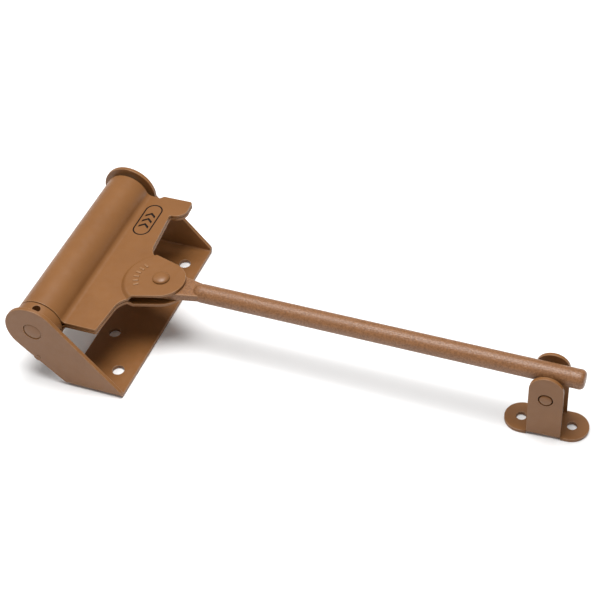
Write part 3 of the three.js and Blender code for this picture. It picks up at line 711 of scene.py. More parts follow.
def soften(item, width, segments=3, angle=65, spared=None):
    """Rounds the sharp edges, apart from those spared, and keeps the flats flat in the shading."""
    apply_modifiers(item)
    bm = bmesh.new()
    bm.from_mesh(item.data)
    sharp = [edge for edge in bm.edges if edge.calc_face_angle(0) > math.radians(angle)]
    if spared:
        sharp = [edge for edge in sharp if not all(spared(vert.co) for vert in edge.verts)]
    edge_layer = bm.faces.layers.float.new(WEAR_AND_HIGHLIGHT_ATTRIBUTE)
    rounds = bmesh.ops.bevel(
        bm,
        geom=sharp,
        offset=width,
        segments=segments,
        profile=0.5,
        affect="EDGES",
        clamp_overlap=False,
        loop_slide=True,
        material=-1,
    )
    # Rounded faces are marked for the lighter edge tone: partly edge wear, partly painted highlight
    for face in rounds["faces"]:
        face[edge_layer] = 1.0
    bm.to_mesh(item.data)
    bm.free()
    item.data.shade_smooth()
    flat = item.modifiers.new("shading", "WEIGHTED_NORMAL")
    flat.keep_sharp = False
    flat.weight = 80


def finished(item, body, slot, nodes=(), finish=None):
    """Gives a piece its finish and its body, and hides the plain pieces that it stands for."""
    item.data.materials.clear()
    item.data.materials.append(finish_of(finish or slot))
    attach(item, body)
    if nodes:
        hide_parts(*nodes)
    return item


def turned_piece(name, profile, segments, space, body, slot, nodes):
    """Turns a profile about Z, sets it in its space and finishes it."""
    bm = bmesh.new()
    turned(bm, profile, segments)
    place(bm, space)
    return finished(mesh_object(name, bm), body, slot, nodes)


# ---------------------------------------------------------------- mounting bracket and spindle


def bracket_outline(bm, bend_start, bend_length):
    """Flat pattern of the mounting bracket: a strip with a slanted, round-headed ear at each end."""
    given = sizes()
    ear_start = bend_start + bend_length - (given.base_sheet + given.base_bend)
    head = Vector((SPINDLE_AT.x, ear_start + SPINDLE_AT.z))
    right_foot = Vector((HALF_WIDTH, ear_start + given.ear_foot))
    left_foot = Vector((-HALF_WIDTH, ear_start + given.ear_foot / 2))
    right_touch = touch_point(right_foot, head, EAR_RADIUS, -1)
    left_touch = touch_point(left_foot, head, EAR_RADIUS, 1)
    lobe = Vector((STOP_AT.x, ear_start + STOP_AT.z))
    way = (left_touch - left_foot).normalized()
    along = (lobe - left_foot).dot(way)
    inward = abs((lobe - left_foot).cross(way))
    half_chord = math.sqrt(given.stop_lobe**2 - inward**2)
    lobe_low = left_foot + way * (along - half_chord)
    lobe_high = left_foot + way * (along + half_chord)

    def flipped(point):
        """The same point on the strip's other end."""
        return Vector((point.x, -point.y))

    pen = Outline(bm, (HALF_WIDTH, 0))
    pen.corner(right_foot, right_touch, given.ear_foot_round)
    share = (head.x + given.hollow_reach - right_touch.x) / (right_foot.x - right_touch.x)
    hollow_low = right_touch.lerp(right_foot, share)
    hollow_corner = head + Vector((EAR_RADIUS, -given.hollow_drop))
    head_side = head + Vector((EAR_RADIUS, 0))
    pen.corner(hollow_low, hollow_corner, given.hollow_round)
    pen.corner(hollow_corner, head_side, given.hollow_round)
    pen.line(head_side)
    pen.arc_to(head, left_touch)
    pen.line(left_foot)
    pen.line(flipped(left_foot))
    pen.line(flipped(lobe_low))
    pen.arc_to(flipped(lobe), flipped(lobe_high))
    pen.line(flipped(left_touch))
    pen.arc_to(flipped(head), flipped(right_touch))
    pen.corner(flipped(right_foot), (HALF_WIDTH, 0), given.ear_foot_round)
    pen.close()
    bore = SPINDLE_RADIUS + given.staked_gap
    hole(bm, head, bore, 72)
    hole(bm, flipped(head), bore, 72)
    hole(bm, flipped(lobe), STOP_RADIUS + given.staked_gap / 2, 32)


class CLOSER_OT_mounting_bracket(bpy.types.Operator):
    """Cuts the bracket flat, folds its ears up and rounds its edges"""

    bl_idname = "closer.mounting_bracket"
    bl_label = "Mounting bracket"

    def execute(self, context):
        given = sizes()
        outer = given.base_sheet + given.base_bend
        middle = given.base_bend + given.base_sheet / 2
        bend_start = HALF_LENGTH - outer
        bend_length = middle * math.pi / 2
        bm = bmesh.new()
        bracket_outline(bm, bend_start, bend_length)
        outer_hole = (given.outer_hole_x, HALF_LENGTH - given.outer_hole_inset)
        inner_hole = (given.inner_hole_x, HALF_LENGTH - given.inner_hole_inset)
        for side in (-1, 1):
            for across, along in (outer_hole, inner_hole):
                hole(bm, (across, side * along), given.base_hole / 2)
        fill(bm)
        fold(bm, bend_start, bend_length, math.pi / 2)
        place(bm, Matrix.Translation((0, 0, given.base_sheet / 2)))
        weld(bm)
        join_flats(bm)
        item = mesh_object("bracket_sheet", bm)
        thicken(item, given.base_sheet)
        soften(item, BRACKET_EDGE)
        finished(item, "wall_side", "tan_paint", ["mounting_bracket"])
        return {"FINISHED"}


def staked_profile(radius, low, high, rise, rounding):
    """A bar with softly rounded ends that rise a little towards their middle."""
    half = [(0, high)]
    for step in range(1, 5):
        share = step / 5
        half.append(((radius - rounding) * share, high - rise * share**2))
    half += [(radius - rounding, high - rise), (radius - rounding * 0.3, high - rise - rounding * 0.3)]
    half.append((radius, high - rise - rounding))
    return half + [(across, low + high - along) for across, along in reversed(half)]


class CLOSER_OT_spindle(bpy.types.Operator):
    """Turns the spindle, the stop pin and the far thrust washer"""

    bl_idname = "closer.spindle"
    bl_label = "Spindle, stop pin and washer"

    def execute(self, context):
        profile = staked_profile(
            SPINDLE_RADIUS, spindle_low.y, spindle_high.y, SPINDLE_RISE, SPINDLE_EDGE
        )
        turned_piece("spindle_bar", profile, 72, SPINDLE_SPACE, "wall_side", "tan_paint", ["spindle"])

        profile = bar_profile(STOP_RADIUS, stop_low.y, stop_high.y, STOP_EDGE)
        space = Matrix.Translation((STOP_AT.x, 0, STOP_AT.z)) @ ALONG_Y
        turned_piece("stop_pin_bar", profile, 32, space, "wall_side", "tan_paint", ["stop_pin"])

        bore = SPINDLE_RADIUS + sizes().fit_gap
        rim = (washer_high.x - washer_low.x) / 2
        near, far = washer_low.y, washer_high.y
        profile = [((bore + rim) / 2, near), (rim, near), (rim, far), (bore, far), (bore, near)]
        turned_piece(
            "far_washer_ring",
            rounded(profile, WASHER_EDGE),
            72,
            SPINDLE_SPACE,
            "wall_side",
            "zinc_steel",
            ["far_thrust_washer"],
        )
        return {"FINISHED"}


# ---------------------------------------------------------------- tension collar and lock pin


def inner_fit():
    """Radius of what seats inside the barrel."""
    given = sizes()
    return BARREL_RADIUS - given.barrel_sheet - given.fit_gap


class CLOSER_OT_tension_collar(bpy.types.Operator):
    """Turns the tension collar, drills its holes and turns the lock pin"""

    bl_idname = "closer.tension_collar"
    bl_label = "Tension collar and lock pin"

    def execute(self, context):
        given = sizes()
        bore = SPINDLE_RADIUS + given.fit_gap
        near, hub_end = collar_low.y, collar_high.y
        shoulder = hub_end - given.collar_hub
        floor = hub_end - given.groove_depth
        groove_in, groove_out = bore + given.groove_wall, inner_fit() - given.groove_wall
        bm = bmesh.new()
        profile = [(bore, near), (BARREL_RADIUS, near), (BARREL_RADIUS, shoulder)]
        profile += [(inner_fit(), shoulder), (inner_fit(), hub_end), (groove_out, hub_end)]
        profile += [(groove_out, floor), (groove_in, floor), (groove_in, hub_end), (bore, hub_end)]
        turned(bm, rounded(profile, COLLAR_EDGE), 96)
        place(bm, SPINDLE_SPACE)
        collar = mesh_object("collar_ring", bm)
        drills = []
        hole_centre = Vector((SPINDLE_AT.x, (lock_low.y + lock_high.y) / 2, SPINDLE_AT.z))
        hole_floor = BARREL_RADIUS - given.collar_hole_depth
        for quarter in range(4):
            way = Matrix.Rotation(quarter * math.pi / 2, 3, "Y") @ LOCK_WAY
            bm = bmesh.new()
            drill = bar_profile(given.collar_hole / 2, hole_floor, BARREL_RADIUS + MM, DRILL_EDGE)
            turned(bm, drill, 32)
            place(bm, set_along(hole_centre, way))
            drills.append(mesh_object("drill", bm))
        cut(collar, drills)
        soften(collar, COLLAR_HOLE_EDGE, segments=2, angle=50)
        finished(collar, "collar", "tan_paint", ["tension_collar"])

        start = hole_floor + given.fit_gap
        tip = (SPINDLE_AT.z - lock_low.z - abs(LOCK_WAY.x) * given.lock_head / 2) / abs(LOCK_WAY.z)
        head_start = tip - given.lock_head_length
        shank, head = given.lock_diameter / 2, given.lock_head / 2
        profile = [(0, start), (shank, start), (shank, head_start)]
        profile += [(head, head_start), (head, tip), (0, tip)]
        space = set_along(hole_centre, LOCK_WAY)
        turned_piece(
            "lock_pin_bar", rounded(profile, LOCK_EDGE), 40, space, "lock_pin", "zinc_steel", ["lock_pin"]
        )
        return {"FINISHED"}


# ---------------------------------------------------------------- barrel, spring and plug


def barrel_places():
    """Named points of the flap's outline, in the barrel's own space."""
    given = sizes()
    pivot = Vector(PIVOT_IN_BARREL.xy)
    half_sheet = given.barrel_sheet / 2
    skin = given.flap_slit / 2 + given.barrel_sheet + given.flap_fillet
    valley = math.sqrt((BARREL_RADIUS + given.flap_fillet) ** 2 - skin**2)
    near, far = BARREL_NEAR, plug_high.y + given.fit_gap
    drop = given.clevis_round / math.cos(given.clevis_flare)
    drop += (pivot.x - given.neck_reach) * math.tan(given.clevis_flare)
    near_neck = Vector((given.neck_reach, pivot.y - drop))
    far_neck = Vector((given.neck_reach, pivot.y + drop))
    root_y = far - given.tab_root_inset
    top_y = far + given.tab_proud
    taper = math.tan(given.edge_taper)
    return {
        "pivot": pivot,
        "flap_height": given.flap_slit / 2 + half_sheet,
        "cheek_height": given.tongue_thickness / 2 + given.fit_gap + half_sheet,
        "valley": Vector((valley, skin)),
        "near": near,
        "far": far,
        "near_corner": Vector((given.neck_reach - (near_neck.y - near) * taper, near)),
        "near_neck": near_neck,
        "far_neck": far_neck,
        "tab_root": Vector((given.neck_reach - (root_y - far_neck.y) * taper, root_y)),
        "tab_low": Vector((given.tab_reach, root_y)),
        "tab_tip": Vector((given.tab_reach - TAB_LEAN, top_y)),
        "step": Vector((given.tab_step_reach, top_y)),
        "near_touch": touch_point(near_neck, pivot, given.clevis_round, -1),
        "far_touch": touch_point(far_neck, pivot, given.clevis_round, 1),
    }


def flap_edge(at):
    """Points along the flap's edge, from the near end of the valley round the clevis to its far end."""
    given = sizes()
    drawing = bmesh.new()
    pen = Outline(drawing, (at["valley"].x, at["near"]))
    pen.corner(at["near_corner"], at["near_neck"], NEAR_CORNER_ROUND)
    pen.corner(at["near_neck"], at["near_touch"], given.neck_fillet)
    pen.line(at["near_touch"])
    pen.arc_to(at["pivot"], at["far_touch"])
    pen.corner(at["far_neck"], at["tab_root"], given.neck_fillet)
    pen.corner(at["tab_root"], at["tab_low"], TAB_ROOT_ROUND)
    pen.corner(at["tab_low"], at["tab_tip"], given.tab_round)
    pen.corner(at["tab_tip"], at["step"], TAB_TIP_ROUND)
    notch_floor = Vector((at["step"].x - NOTCH_REACH, at["far"] - NOTCH_DEPTH))
    pen.corner(at["step"], notch_floor, NOTCH_ROUND)
    pen.line(notch_floor)
    pen.line((at["valley"].x, at["far"]))
    points = pen.points()
    drawing.free()
    return points


def crossing(points, centre, radius):
    """Where a chain of points first crosses a circle inwards, and the index of the point before that."""
    for index, (here, after) in enumerate(zip(points, points[1:])):
        if (here - centre).length > radius >= (after - centre).length:
            way = (after - here).normalized()
            along = (centre - here).dot(way)
            aside = (here + way * along - centre).length_squared
            return here + way * (along - math.sqrt(radius**2 - aside)), index
    raise ValueError("the flap's edge does not cross the boss")


class BossRing:
    """A circle round the rivet that ends at the flap's edge on both sides of the clevis."""

    def __init__(self, points, centre, radius):
        self.centre = centre
        self.near, near_index = crossing(points, centre, radius)
        self.far, far_index = crossing(points[::-1], centre, radius)
        self.inside = points[near_index + 1:len(points) - 1 - far_index]
        self.before, self.after = points[:near_index + 1], points[len(points) - 1 - far_index:]

    def draw(self, bm, segments=72):
        """Draws the circle behind the rivet, from the far side to the near side, and gives its edges."""
        start, end = self.far - self.centre, self.near - self.centre
        angle = (math.atan2(end.y, end.x) - math.atan2(start.y, start.x)) % (2 * math.pi)
        vert = bm.verts.new((*self.far, 0))
        spun = bmesh.ops.spin(
            bm,
            geom=[vert],
            cent=(*self.centre, 0),
            axis=Z_AXIS,
            angle=angle,
            steps=segments,
            use_duplicate=False,
        )
        last = next(item for item in spun["geom_last"] if isinstance(item, bmesh.types.BMVert))
        return vert, last


def chain_on(bm, first, last, points):
    """Runs edges from one vertex through points to another."""
    for point in points:
        vert = bm.verts.new((*point, 0))
        bm.edges.new((first, vert))
        first = vert
    bm.edges.new((first, last))


def flap_sheet(bm, at):
    """The upper flap as a sheet, flat but for the joggle round its rivet."""
    given = sizes()
    steps = 8
    points = flap_edge(at)
    radii = [given.boss_radius - given.boss_ramp * (1 - step / steps) for step in range(steps + 1)]
    rings = [BossRing(points, at["pivot"], radius) for radius in radii]

    far, near = rings[-1].draw(bm)
    chain_on(bm, far, near, rings[-1].after + rings[-1].before)
    fill(bm)
    far, near = rings[0].draw(bm)
    chain_on(bm, near, far, rings[0].inside)
    hole(bm, at["pivot"], given.rivet_diameter / 2 + given.fit_gap)
    fill(bm)
    join_flats(bm)
    chains = []
    for ring in rings:
        before = set(bm.edges)
        ring.draw(bm)
        chains.append([edge for edge in bm.edges if edge not in before])
    for inner, outer in zip(chains, chains[1:]):
        bmesh.ops.bridge_loops(bm, edges=inner + outer)
    weld(bm)
    for vert in bm.verts:
        share = (given.boss_radius - (vert.co.xy - at["pivot"]).length) / given.boss_ramp
        lift = (1 - math.cos(math.pi * min(1, max(0, share)))) / 2
        vert.co.z = at["flap_height"] + lift * (at["cheek_height"] - at["flap_height"])


class CLOSER_OT_barrel(bpy.types.Operator):
    """Rolls the barrel and its two flaps from one sheet and presses the clevis in them"""

    bl_idname = "closer.barrel"
    bl_label = "Barrel shell"

    def execute(self, context):
        given = sizes()
        at = barrel_places()
        bm = bmesh.new()
        flap_sheet(bm, at)
        valley = at["valley"]
        opening = math.atan2(valley.y, valley.x)
        root = [
            edge for edge in bm.edges if all(abs(vert.co.x - valley.x) < WELD for vert in edge.verts)
        ]
        geom = root + [vert for edge in root for vert in edge.verts]
        turns = (
            ((valley.x, 0, valley.y), math.pi / 2 - opening, 16),
            ((0, 0, 0), opening - math.pi, 40),
        )
        for centre, angle, steps in turns:
            spun = bmesh.ops.spin(
                bm, geom=geom, cent=centre, axis=Y_AXIS, angle=angle, steps=steps, use_duplicate=False
            )
            geom = spun["geom_last"]
        everything = bm.verts[:] + bm.edges[:] + bm.faces[:]
        middle = Matrix.Identity(4)
        bmesh.ops.mirror(bm, geom=everything, matrix=middle, merge_dist=WELD * 10, axis="Z")
        weld(bm)
        place(bm, BARREL_SPACE)
        item = mesh_object("barrel_sheet", bm)
        thicken(item, given.barrel_sheet)
        soften(item, BARREL_EDGE)
        finished(item, "barrel", "tan_paint", ["barrel_shell"])
        return {"FINISHED"}


class CLOSER_OT_barrel_inside(bpy.types.Operator):
    """Winds the torsion spring and turns the end plug"""

    bl_idname = "closer.barrel_inside"
    bl_label = "Torsion spring and end plug"

    def execute(self, context):
        given = sizes()
        bore = SPINDLE_RADIUS + given.fit_gap
        groove_in, groove_out = bore + given.groove_wall, inner_fit() - given.groove_wall
        spring_low, spring_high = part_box("torsion_spring")
        wire = groove_out - groove_in - 2 * SPRING_RUNNING_GAP
        mean = (groove_in + groove_out) / 2
        length = spring_high.y - spring_low.y - wire
        coils = math.floor(length / (wire + given.coil_gap))
        steps = 28
        bm = bmesh.new()
        bmesh.ops.create_circle(bm, cap_ends=True, radius=wire / 2, segments=14)
        place(bm, Matrix.Translation((mean, spring_low.y + wire / 2, 0)))
        rise = (0, length / (coils * steps), 0)
        bmesh.ops.spin(
            bm,
            geom=bm.verts[:] + bm.edges[:] + bm.faces[:],
            cent=(0, 0, 0),
            axis=-Y_AXIS,
            dvec=rise,
            angle=2 * math.pi * coils,
            steps=coils * steps,
            use_duplicate=False,
        )
        weld(bm)
        place(bm, Matrix.Translation((SPINDLE_AT.x, 0, SPINDLE_AT.z)))
        spring = mesh_object("spring_coil", bm)
        finished(spring, "barrel", "spring_steel", ["torsion_spring"])

        near, far = plug_low.y, plug_high.y
        floor = near + given.groove_depth
        profile = [(bore, far), (bore, near), (groove_in, near), (groove_in, floor)]
        profile += [(groove_out, floor), (groove_out, near), (inner_fit(), near), (inner_fit(), far)]
        profile = rounded(profile, PLUG_EDGE)
        turned_piece("end_plug_disc", profile, 72, SPINDLE_SPACE, "barrel", "zinc_steel", ["end_plug"])
        return {"FINISHED"}


class CLOSER_OT_marks(bpy.types.Operator):
    """Prints a plain outline with chevrons on the flap and raises ticks on the boss"""

    bl_idname = "closer.marks"
    bl_label = "Printed outline and raised ticks"

    def execute(self, context):
        given = sizes()
        at = barrel_places()
        top = given.flap_slit / 2 + given.barrel_sheet
        bm = bmesh.new()
        half = given.emblem_width / 2
        straight = given.emblem_length / 2 - half
        for inset in (0, given.emblem_line):
            pen = Outline(bm, (half - inset, -straight))
            pen.line((half - inset, straight))
            pen.arc((0, straight), math.pi)
            pen.line((inset - half, -straight))
            # Stops just short of the start, so that closing it draws the last edge
            pen.arc((0, -straight), math.pi - WELD)
            pen.close()
        fill(bm)
        for index in (-1, 0, 1):
            tip = index * CHEVRON_PITCH
            foot = tip - CHEVRON_RISE
            corners = [(-CHEVRON_REACH, foot), (0, tip), (CHEVRON_REACH, foot)]
            corners += [(across, along + CHEVRON_STROKE) for across, along in reversed(corners)]
            pen = Outline(bm, corners[0])
            for corner in corners[1:]:
                pen.line(corner)
            pen.close()
            fill(bm)
        weld(bm)
        faces = bmesh.ops.extrude_face_region(bm, geom=bm.faces[:])
        raised = [item for item in faces["geom"] if isinstance(item, bmesh.types.BMVert)]
        bmesh.ops.translate(bm, verts=raised, vec=(0, 0, PRINT_FILM))
        bmesh.ops.recalc_face_normals(bm, faces=bm.faces)
        sunk = top - PRINT_FILM * PRINT_SUNK
        centre = Vector((BARREL_RADIUS + PRINT_FROM_BARREL, at["far"] - PRINT_FROM_END, sunk))
        place(bm, BARREL_SPACE @ Matrix.Translation(centre))
        finished(mesh_object("flap_print", bm), "barrel", "tan_paint", finish="ink")

        cheek_top = at["cheek_height"] + given.barrel_sheet / 2
        boss = Matrix.Translation((*at["pivot"], cheek_top))
        reach = Matrix.Translation((TICK_REACH, 0, 0))
        scale = Matrix.Diagonal((*TICK_SIZE, 1))
        bm = bmesh.new()
        for index in range(given.tick_count):
            turn = Matrix.Rotation(math.radians(TICK_FIRST + TICK_PITCH * index), 4, "Z")
            bmesh.ops.create_cube(bm, size=1.0, matrix=boss @ turn @ reach @ scale)
        bmesh.ops.bevel(
            bm, geom=bm.edges[:], offset=TICK_EDGE, segments=3, profile=0.5, affect="EDGES", material=-1
        )
        # Painted highlight: every face of the ticks gets the full lighter edge tone, so the raised ticks
        # read bright
        wear_and_highlight = bm.faces.layers.float.new(WEAR_AND_HIGHLIGHT_ATTRIBUTE)
        for face in bm.faces:
            face[wear_and_highlight] = 1.0
        place(bm, BARREL_SPACE)
        finished(mesh_object("boss_ticks", bm), "barrel", "tan_paint")
        return {"FINISHED"}


class CLOSER_OT_rivet(bpy.types.Operator):
    """Turns the clevis rivet with its two domed heads"""

    bl_idname = "closer.rivet"
    bl_label = "Clevis rivet"

    def execute(self, context):
        given = sizes()
        at = barrel_places()
        seat = at["cheek_height"] + given.barrel_sheet / 2 + given.fit_gap * 0.5
        wall_top = seat + DOME_WALL
        head = RIVET_HEAD - given.rivet_rim
        half = [(0, RIVET_REACH)]
        steps = 10
        for step in range(1, steps + 1):
            angle = step / steps * math.pi / 2
            height = wall_top + (RIVET_REACH - wall_top) * math.cos(angle)
            half.append((head * math.sin(angle), height))
        half += [(head, seat + SEAT_CHAMFER), (head - SEAT_INSET, seat), (given.rivet_diameter / 2, seat)]
        profile = half + [(radius, -along) for radius, along in reversed(half)]
        turned_piece(
            "clevis_rivet_heads", profile, 64, ROD_SPACE, "barrel", "tan_paint", ["clevis_rivet"]
        )
        return {"FINISHED"}


# ---------------------------------------------------------------- arm rod


def peeled(bm, radius, depth):
    """Raises and sinks the round skin of the rod a little, as rough rolled bar under paint."""
    for vert in bm.verts:
        out = Vector((0, vert.co.y, vert.co.z))
        if out.length < radius * 0.6:
            continue
        grain = noise.fractal(vert.co * PEEL_GRAIN, 1.0, 2.0, 2, noise_basis="PERLIN_ORIGINAL")
        slow = noise.noise(vert.co * PEEL_WAVE)
        height = max(-1, min(1, grain * 1.1 + slow * 0.3))
        vert.co -= out.normalized() * depth * (0.5 - 0.5 * height)


class CLOSER_OT_arm_rod(bpy.types.Operator):
    """Turns the round bar, peels its skin and joins the flattened eye to it"""

    bl_idname = "closer.arm_rod"
    bl_label = "Arm rod"

    def execute(self, context):
        given = sizes()
        radius = given.rod_diameter / 2
        start, full = given.shoulder_start, given.shoulder_end
        profile = []
        steps = 10
        for step in range(steps + 1):
            angle = step / steps * math.pi / 2
            profile.append((radius * math.sin(angle), full - (full - start) * math.cos(angle)))
        straight = ROD_LENGTH - full - given.rod_chamfer
        count = math.ceil(straight / PEEL_PITCH)
        profile += [(radius, full + straight * index / count) for index in range(1, count + 1)]
        end_steps = 6
        for step in range(1, end_steps + 1):
            angle = step / end_steps * math.pi / 2
            drop = given.rod_chamfer * (1 - math.cos(angle)) * CHAMFER_FULLNESS
            profile.append((radius - drop, ROD_LENGTH - given.rod_chamfer * (1 - math.sin(angle))))
        profile.append((0, ROD_LENGTH))
        bm = bmesh.new()
        turned(bm, profile, 72)
        place(bm, Matrix.Rotation(math.pi / 2, 4, "Y"))
        peeled(bm, radius, given.peel_depth)

        half = given.tongue_thickness / 2
        root_width = math.sqrt(radius**2 - half**2) - EYE_ROOT_INSET
        root = Vector((full + EYE_ROOT_OVERLAP, root_width))
        touch = touch_point(root, (0, 0), given.tongue_round, -1)
        flat = bmesh.new()
        pen = Outline(flat, (root.x, -root.y))
        pen.line(root)
        pen.line(touch)
        pen.arc_to((0, 0), (touch.x, -touch.y))
        pen.close()
        hole(flat, (0, 0), given.rivet_diameter / 2 + given.fit_gap)
        fill(flat)
        weld(flat)
        join_flats(flat)
        eye = mesh_object("rod_eye", flat)
        thicken(eye, given.tongue_thickness)
        soften(eye, EYE_EDGE)
        apply_modifiers(eye)
        bm.from_mesh(eye.data)
        bpy.data.objects.remove(eye)
        place(bm, ROD_SPACE)
        finished(mesh_object("arm_bar", bm), "arm", "rod_paint", ["arm_rod"])
        return {"FINISHED"}


# ---------------------------------------------------------------- door bracket and roller


def door_ear(bm, side):
    """One ear of the door bracket, flat, then stood up beside the base."""
    given = sizes()
    half = given.door_ear / 2
    foot = given.door_sheet + given.door_bend
    made = bmesh.new()
    pen = Outline(made, (-half, foot))
    pen.line((half, foot))
    pen.line((half, EAR_TOP - half))
    pen.arc((0, EAR_TOP - half), math.pi)
    pen.close()
    drop = given.door_pin_drop
    hole(made, (0, ROLLER_AT.z + drop), ROLLER_PIN_RADIUS + given.fit_gap + drop)
    fill(made)
    stand = Matrix.Translation((0, side * (given.door_width - given.door_sheet) / 2, 0))
    place(made, stand @ Matrix.Rotation(math.pi / 2, 4, "X"))
    mesh = bpy.data.meshes.new("ear")
    made.to_mesh(mesh)
    made.free()
    bm.from_mesh(mesh)
    bpy.data.meshes.remove(mesh)


class CLOSER_OT_door_bracket(bpy.types.Operator):
    """Cuts the stadium base of the door bracket, bends its ears up and rounds its edges"""

    bl_idname = "closer.door_bracket"
    bl_label = "Door bracket"

    def execute(self, context):
        given = sizes()
        half = given.door_width / 2
        straight = given.door_length / 2 - half
        ear = given.door_ear / 2
        relief = ear + given.door_relief
        bend = half - given.door_sheet - given.door_bend
        bm = bmesh.new()
        pen = Outline(bm, (relief, -half))
        pen.line((straight, -half))
        pen.arc((straight, 0), math.pi)
        ear_edge = [(relief, half), (relief, bend), (ear, bend)]
        ear_edge += [(-across, along) for across, along in reversed(ear_edge)]
        for point in ear_edge:
            pen.line(point)
        pen.line((-straight, half))
        pen.arc((-straight, 0), math.pi)
        for across, along in ear_edge[:-1]:
            pen.line((-across, -along))
        pen.close()
        for side in (-1, 1):
            hole(bm, (side * given.door_spacing / 2, 0), given.door_hole / 2)
        fill(bm)
        place(bm, Matrix.Translation((0, 0, given.door_sheet / 2)))
        for side in (-1, 1):
            edge = next(
                edge
                for edge in bm.edges
                if all(
                    abs(vert.co.y - side * bend) < WELD and abs(vert.co.x) < ear + WELD
                    for vert in edge.verts
                )
            )
            bmesh.ops.spin(
                bm,
                geom=[edge, *edge.verts],
                cent=(0, side * bend, given.door_sheet + given.door_bend),
                axis=(1, 0, 0),
                angle=side * math.pi / 2,
                steps=10,
                use_duplicate=False,
            )
            door_ear(bm, side)
        weld(bm)
        join_flats(bm)
        item = mesh_object("door_bracket_sheet", bm)
        thicken(item, given.door_sheet)

        def in_relief(spot):
            """Whether a point lies in one of the slots beside the ears."""
            return ear - WELD < abs(spot.x) < relief + WELD and abs(spot.y) > bend - WELD

        soften(item, DOOR_EDGE, spared=in_relief)
        item.data.transform(DOOR_SPACE)
        finished(item, "door_side", "tan_paint", ["door_bracket"])
        return {"FINISHED"}


class CLOSER_OT_roller(bpy.types.Operator):
    """Turns the roller and its staked pin"""

    bl_idname = "closer.roller"
    bl_label = "Roller and pin"

    def execute(self, context):
        given = sizes()
        space = set_along(ROLLER_AT, ROLLER_AXIS)
        reach = given.door_width / 2 + ROLLER_PIN_PROUD
        profile = staked_profile(ROLLER_PIN_RADIUS, -reach, reach, ROLLER_PIN_RISE, ROLLER_PIN_EDGE)
        turned_piece("roller_pin_bar", profile, 48, space, "roller_pin", "tan_paint", ["roller_pin"])

        bore = ROLLER_PIN_RADIUS + given.fit_gap
        end = given.door_width / 2 - given.door_sheet - ROLLER_SIDE_GAP
        waist = ROLLER_RADIUS - ROLLER_WAIST
        profile = [(bore, -end), (ROLLER_RADIUS, -end), (waist, 0), (ROLLER_RADIUS, end), (bore, end)]
        profile = rounded(profile, ROLLER_EDGE)
        turned_piece("roller_wheel", profile, 64, space, "roller", "nylon", ["roller"])
        return {"FINISHED"}


# ---------------------------------------------------------------- stage


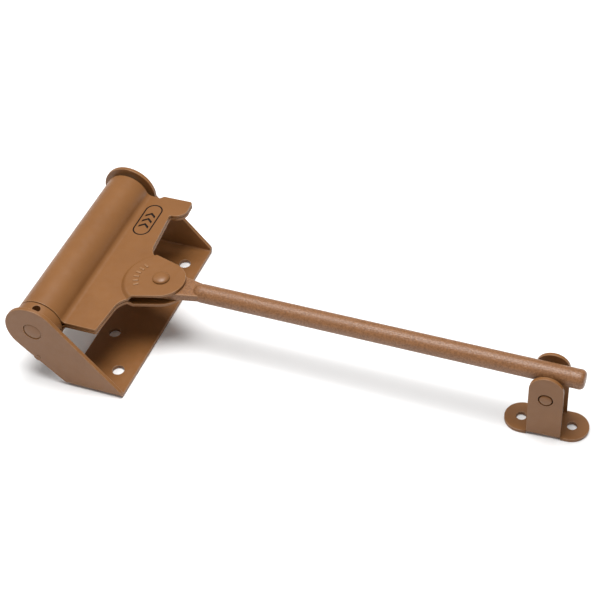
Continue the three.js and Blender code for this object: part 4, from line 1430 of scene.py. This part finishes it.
class CLOSER_OT_stage(bpy.types.Operator):
    """Sets the pale floor, the soft lights and the camera"""

    bl_idname = "closer.stage"
    bl_label = "Floor, lights and camera"

    def execute(self, context):
        bm = bmesh.new()
        bmesh.ops.create_grid(bm, x_segments=4, y_segments=4, size=FLOOR_SIZE)
        place(bm, Matrix.Translation((0, 0, -FLOOR_DROP)))
        floor = mesh_object("floor", bm)
        floor.data.materials.append(finish_of("floor"))
        for light in LIGHTS:
            lamp = bpy.data.lights.new(light["name"], "AREA")
            lamp.shape = "DISK"
            lamp.size = light["width"]
            lamp.energy = light["power"]
            item = bpy.data.objects.new(light["name"], lamp)
            item.location = light["spot"]
            item.rotation_euler = (LIGHT_AIM - item.location).to_track_quat("-Z", "Y").to_euler()
            context.scene.collection.objects.link(item)
        world = bpy.data.worlds.new("studio")
        world.use_nodes = True
        background = world.node_tree.nodes["Background"]
        background.inputs["Color"].default_value = (1.0, 1.0, 1.0, 1.0)
        background.inputs["Strength"].default_value = WORLD_STRENGTH
        context.scene.world = world
        context.scene.view_settings.view_transform = "Standard"
        self.add_camera(context)
        return {"FINISHED"}

    def add_camera(self, context):
        """Looks down at the closer from its front right, a little rolled."""
        back = Vector(
            (
                math.sin(CAMERA_AZIMUTH) * math.cos(CAMERA_ELEVATION),
                -math.cos(CAMERA_AZIMUTH) * math.cos(CAMERA_ELEVATION),
                math.sin(CAMERA_ELEVATION),
            )
        )
        right = Vector((math.cos(CAMERA_AZIMUTH), math.sin(CAMERA_AZIMUTH), 0))
        up = back.cross(right)
        across = math.cos(CAMERA_ROLL) * right + math.sin(CAMERA_ROLL) * up
        upright = math.cos(CAMERA_ROLL) * up - math.sin(CAMERA_ROLL) * right
        turn = Matrix((across, upright, back)).transposed().to_4x4()
        lens = bpy.data.cameras.new("camera")
        lens.sensor_width = CAMERA_SENSOR
        lens.lens = CAMERA_LENS
        item = bpy.data.objects.new("camera", lens)
        item.matrix_world = Matrix.Translation(CAMERA_TARGET + back * CAMERA_DISTANCE) @ turn
        context.scene.collection.objects.link(item)
        context.scene.camera = item


PIECE_OPERATORS = (
    CLOSER_OT_mounting_bracket,
    CLOSER_OT_spindle,
    CLOSER_OT_tension_collar,
    CLOSER_OT_barrel,
    CLOSER_OT_barrel_inside,
    CLOSER_OT_marks,
    CLOSER_OT_rivet,
    CLOSER_OT_arm_rod,
    CLOSER_OT_door_bracket,
    CLOSER_OT_roller,
    CLOSER_OT_stage,
)


class CLOSER_PT_pieces(bpy.types.Panel):
    """Lists the closer's pieces, sizes and colours"""

    bl_idname = "CLOSER_PT_pieces"
    bl_label = "Door closer"
    bl_space_type = "VIEW_3D"
    bl_region_type = "UI"
    bl_category = "Door closer"

    def draw(self, context):
        for operator in PIECE_OPERATORS:
            self.layout.operator(operator.bl_idname)
        for settings in (context.scene.closer_sizes, context.scene.closer_colours):
            column = self.layout.column()
            for name in settings.bl_rna.properties.keys():
                if name not in ("rna_type", "name"):
                    column.prop(settings, name)


CLASSES = (CloserSizes, CloserColours, *PIECE_OPERATORS, CLOSER_PT_pieces)


def register():
    for item in CLASSES:
        bpy.utils.register_class(item)
    bpy.types.Scene.closer_sizes = PointerProperty(type=CloserSizes)
    bpy.types.Scene.closer_colours = PointerProperty(type=CloserColours)


def unregister():
    del bpy.types.Scene.closer_colours
    del bpy.types.Scene.closer_sizes
    for item in reversed(CLASSES):
        bpy.utils.unregister_class(item)


def main():
    register()
    for operator in PIECE_OPERATORS:
        getattr(bpy.ops.closer, operator.bl_idname.split(".")[1])()


if __name__ == "__main__":
    main()
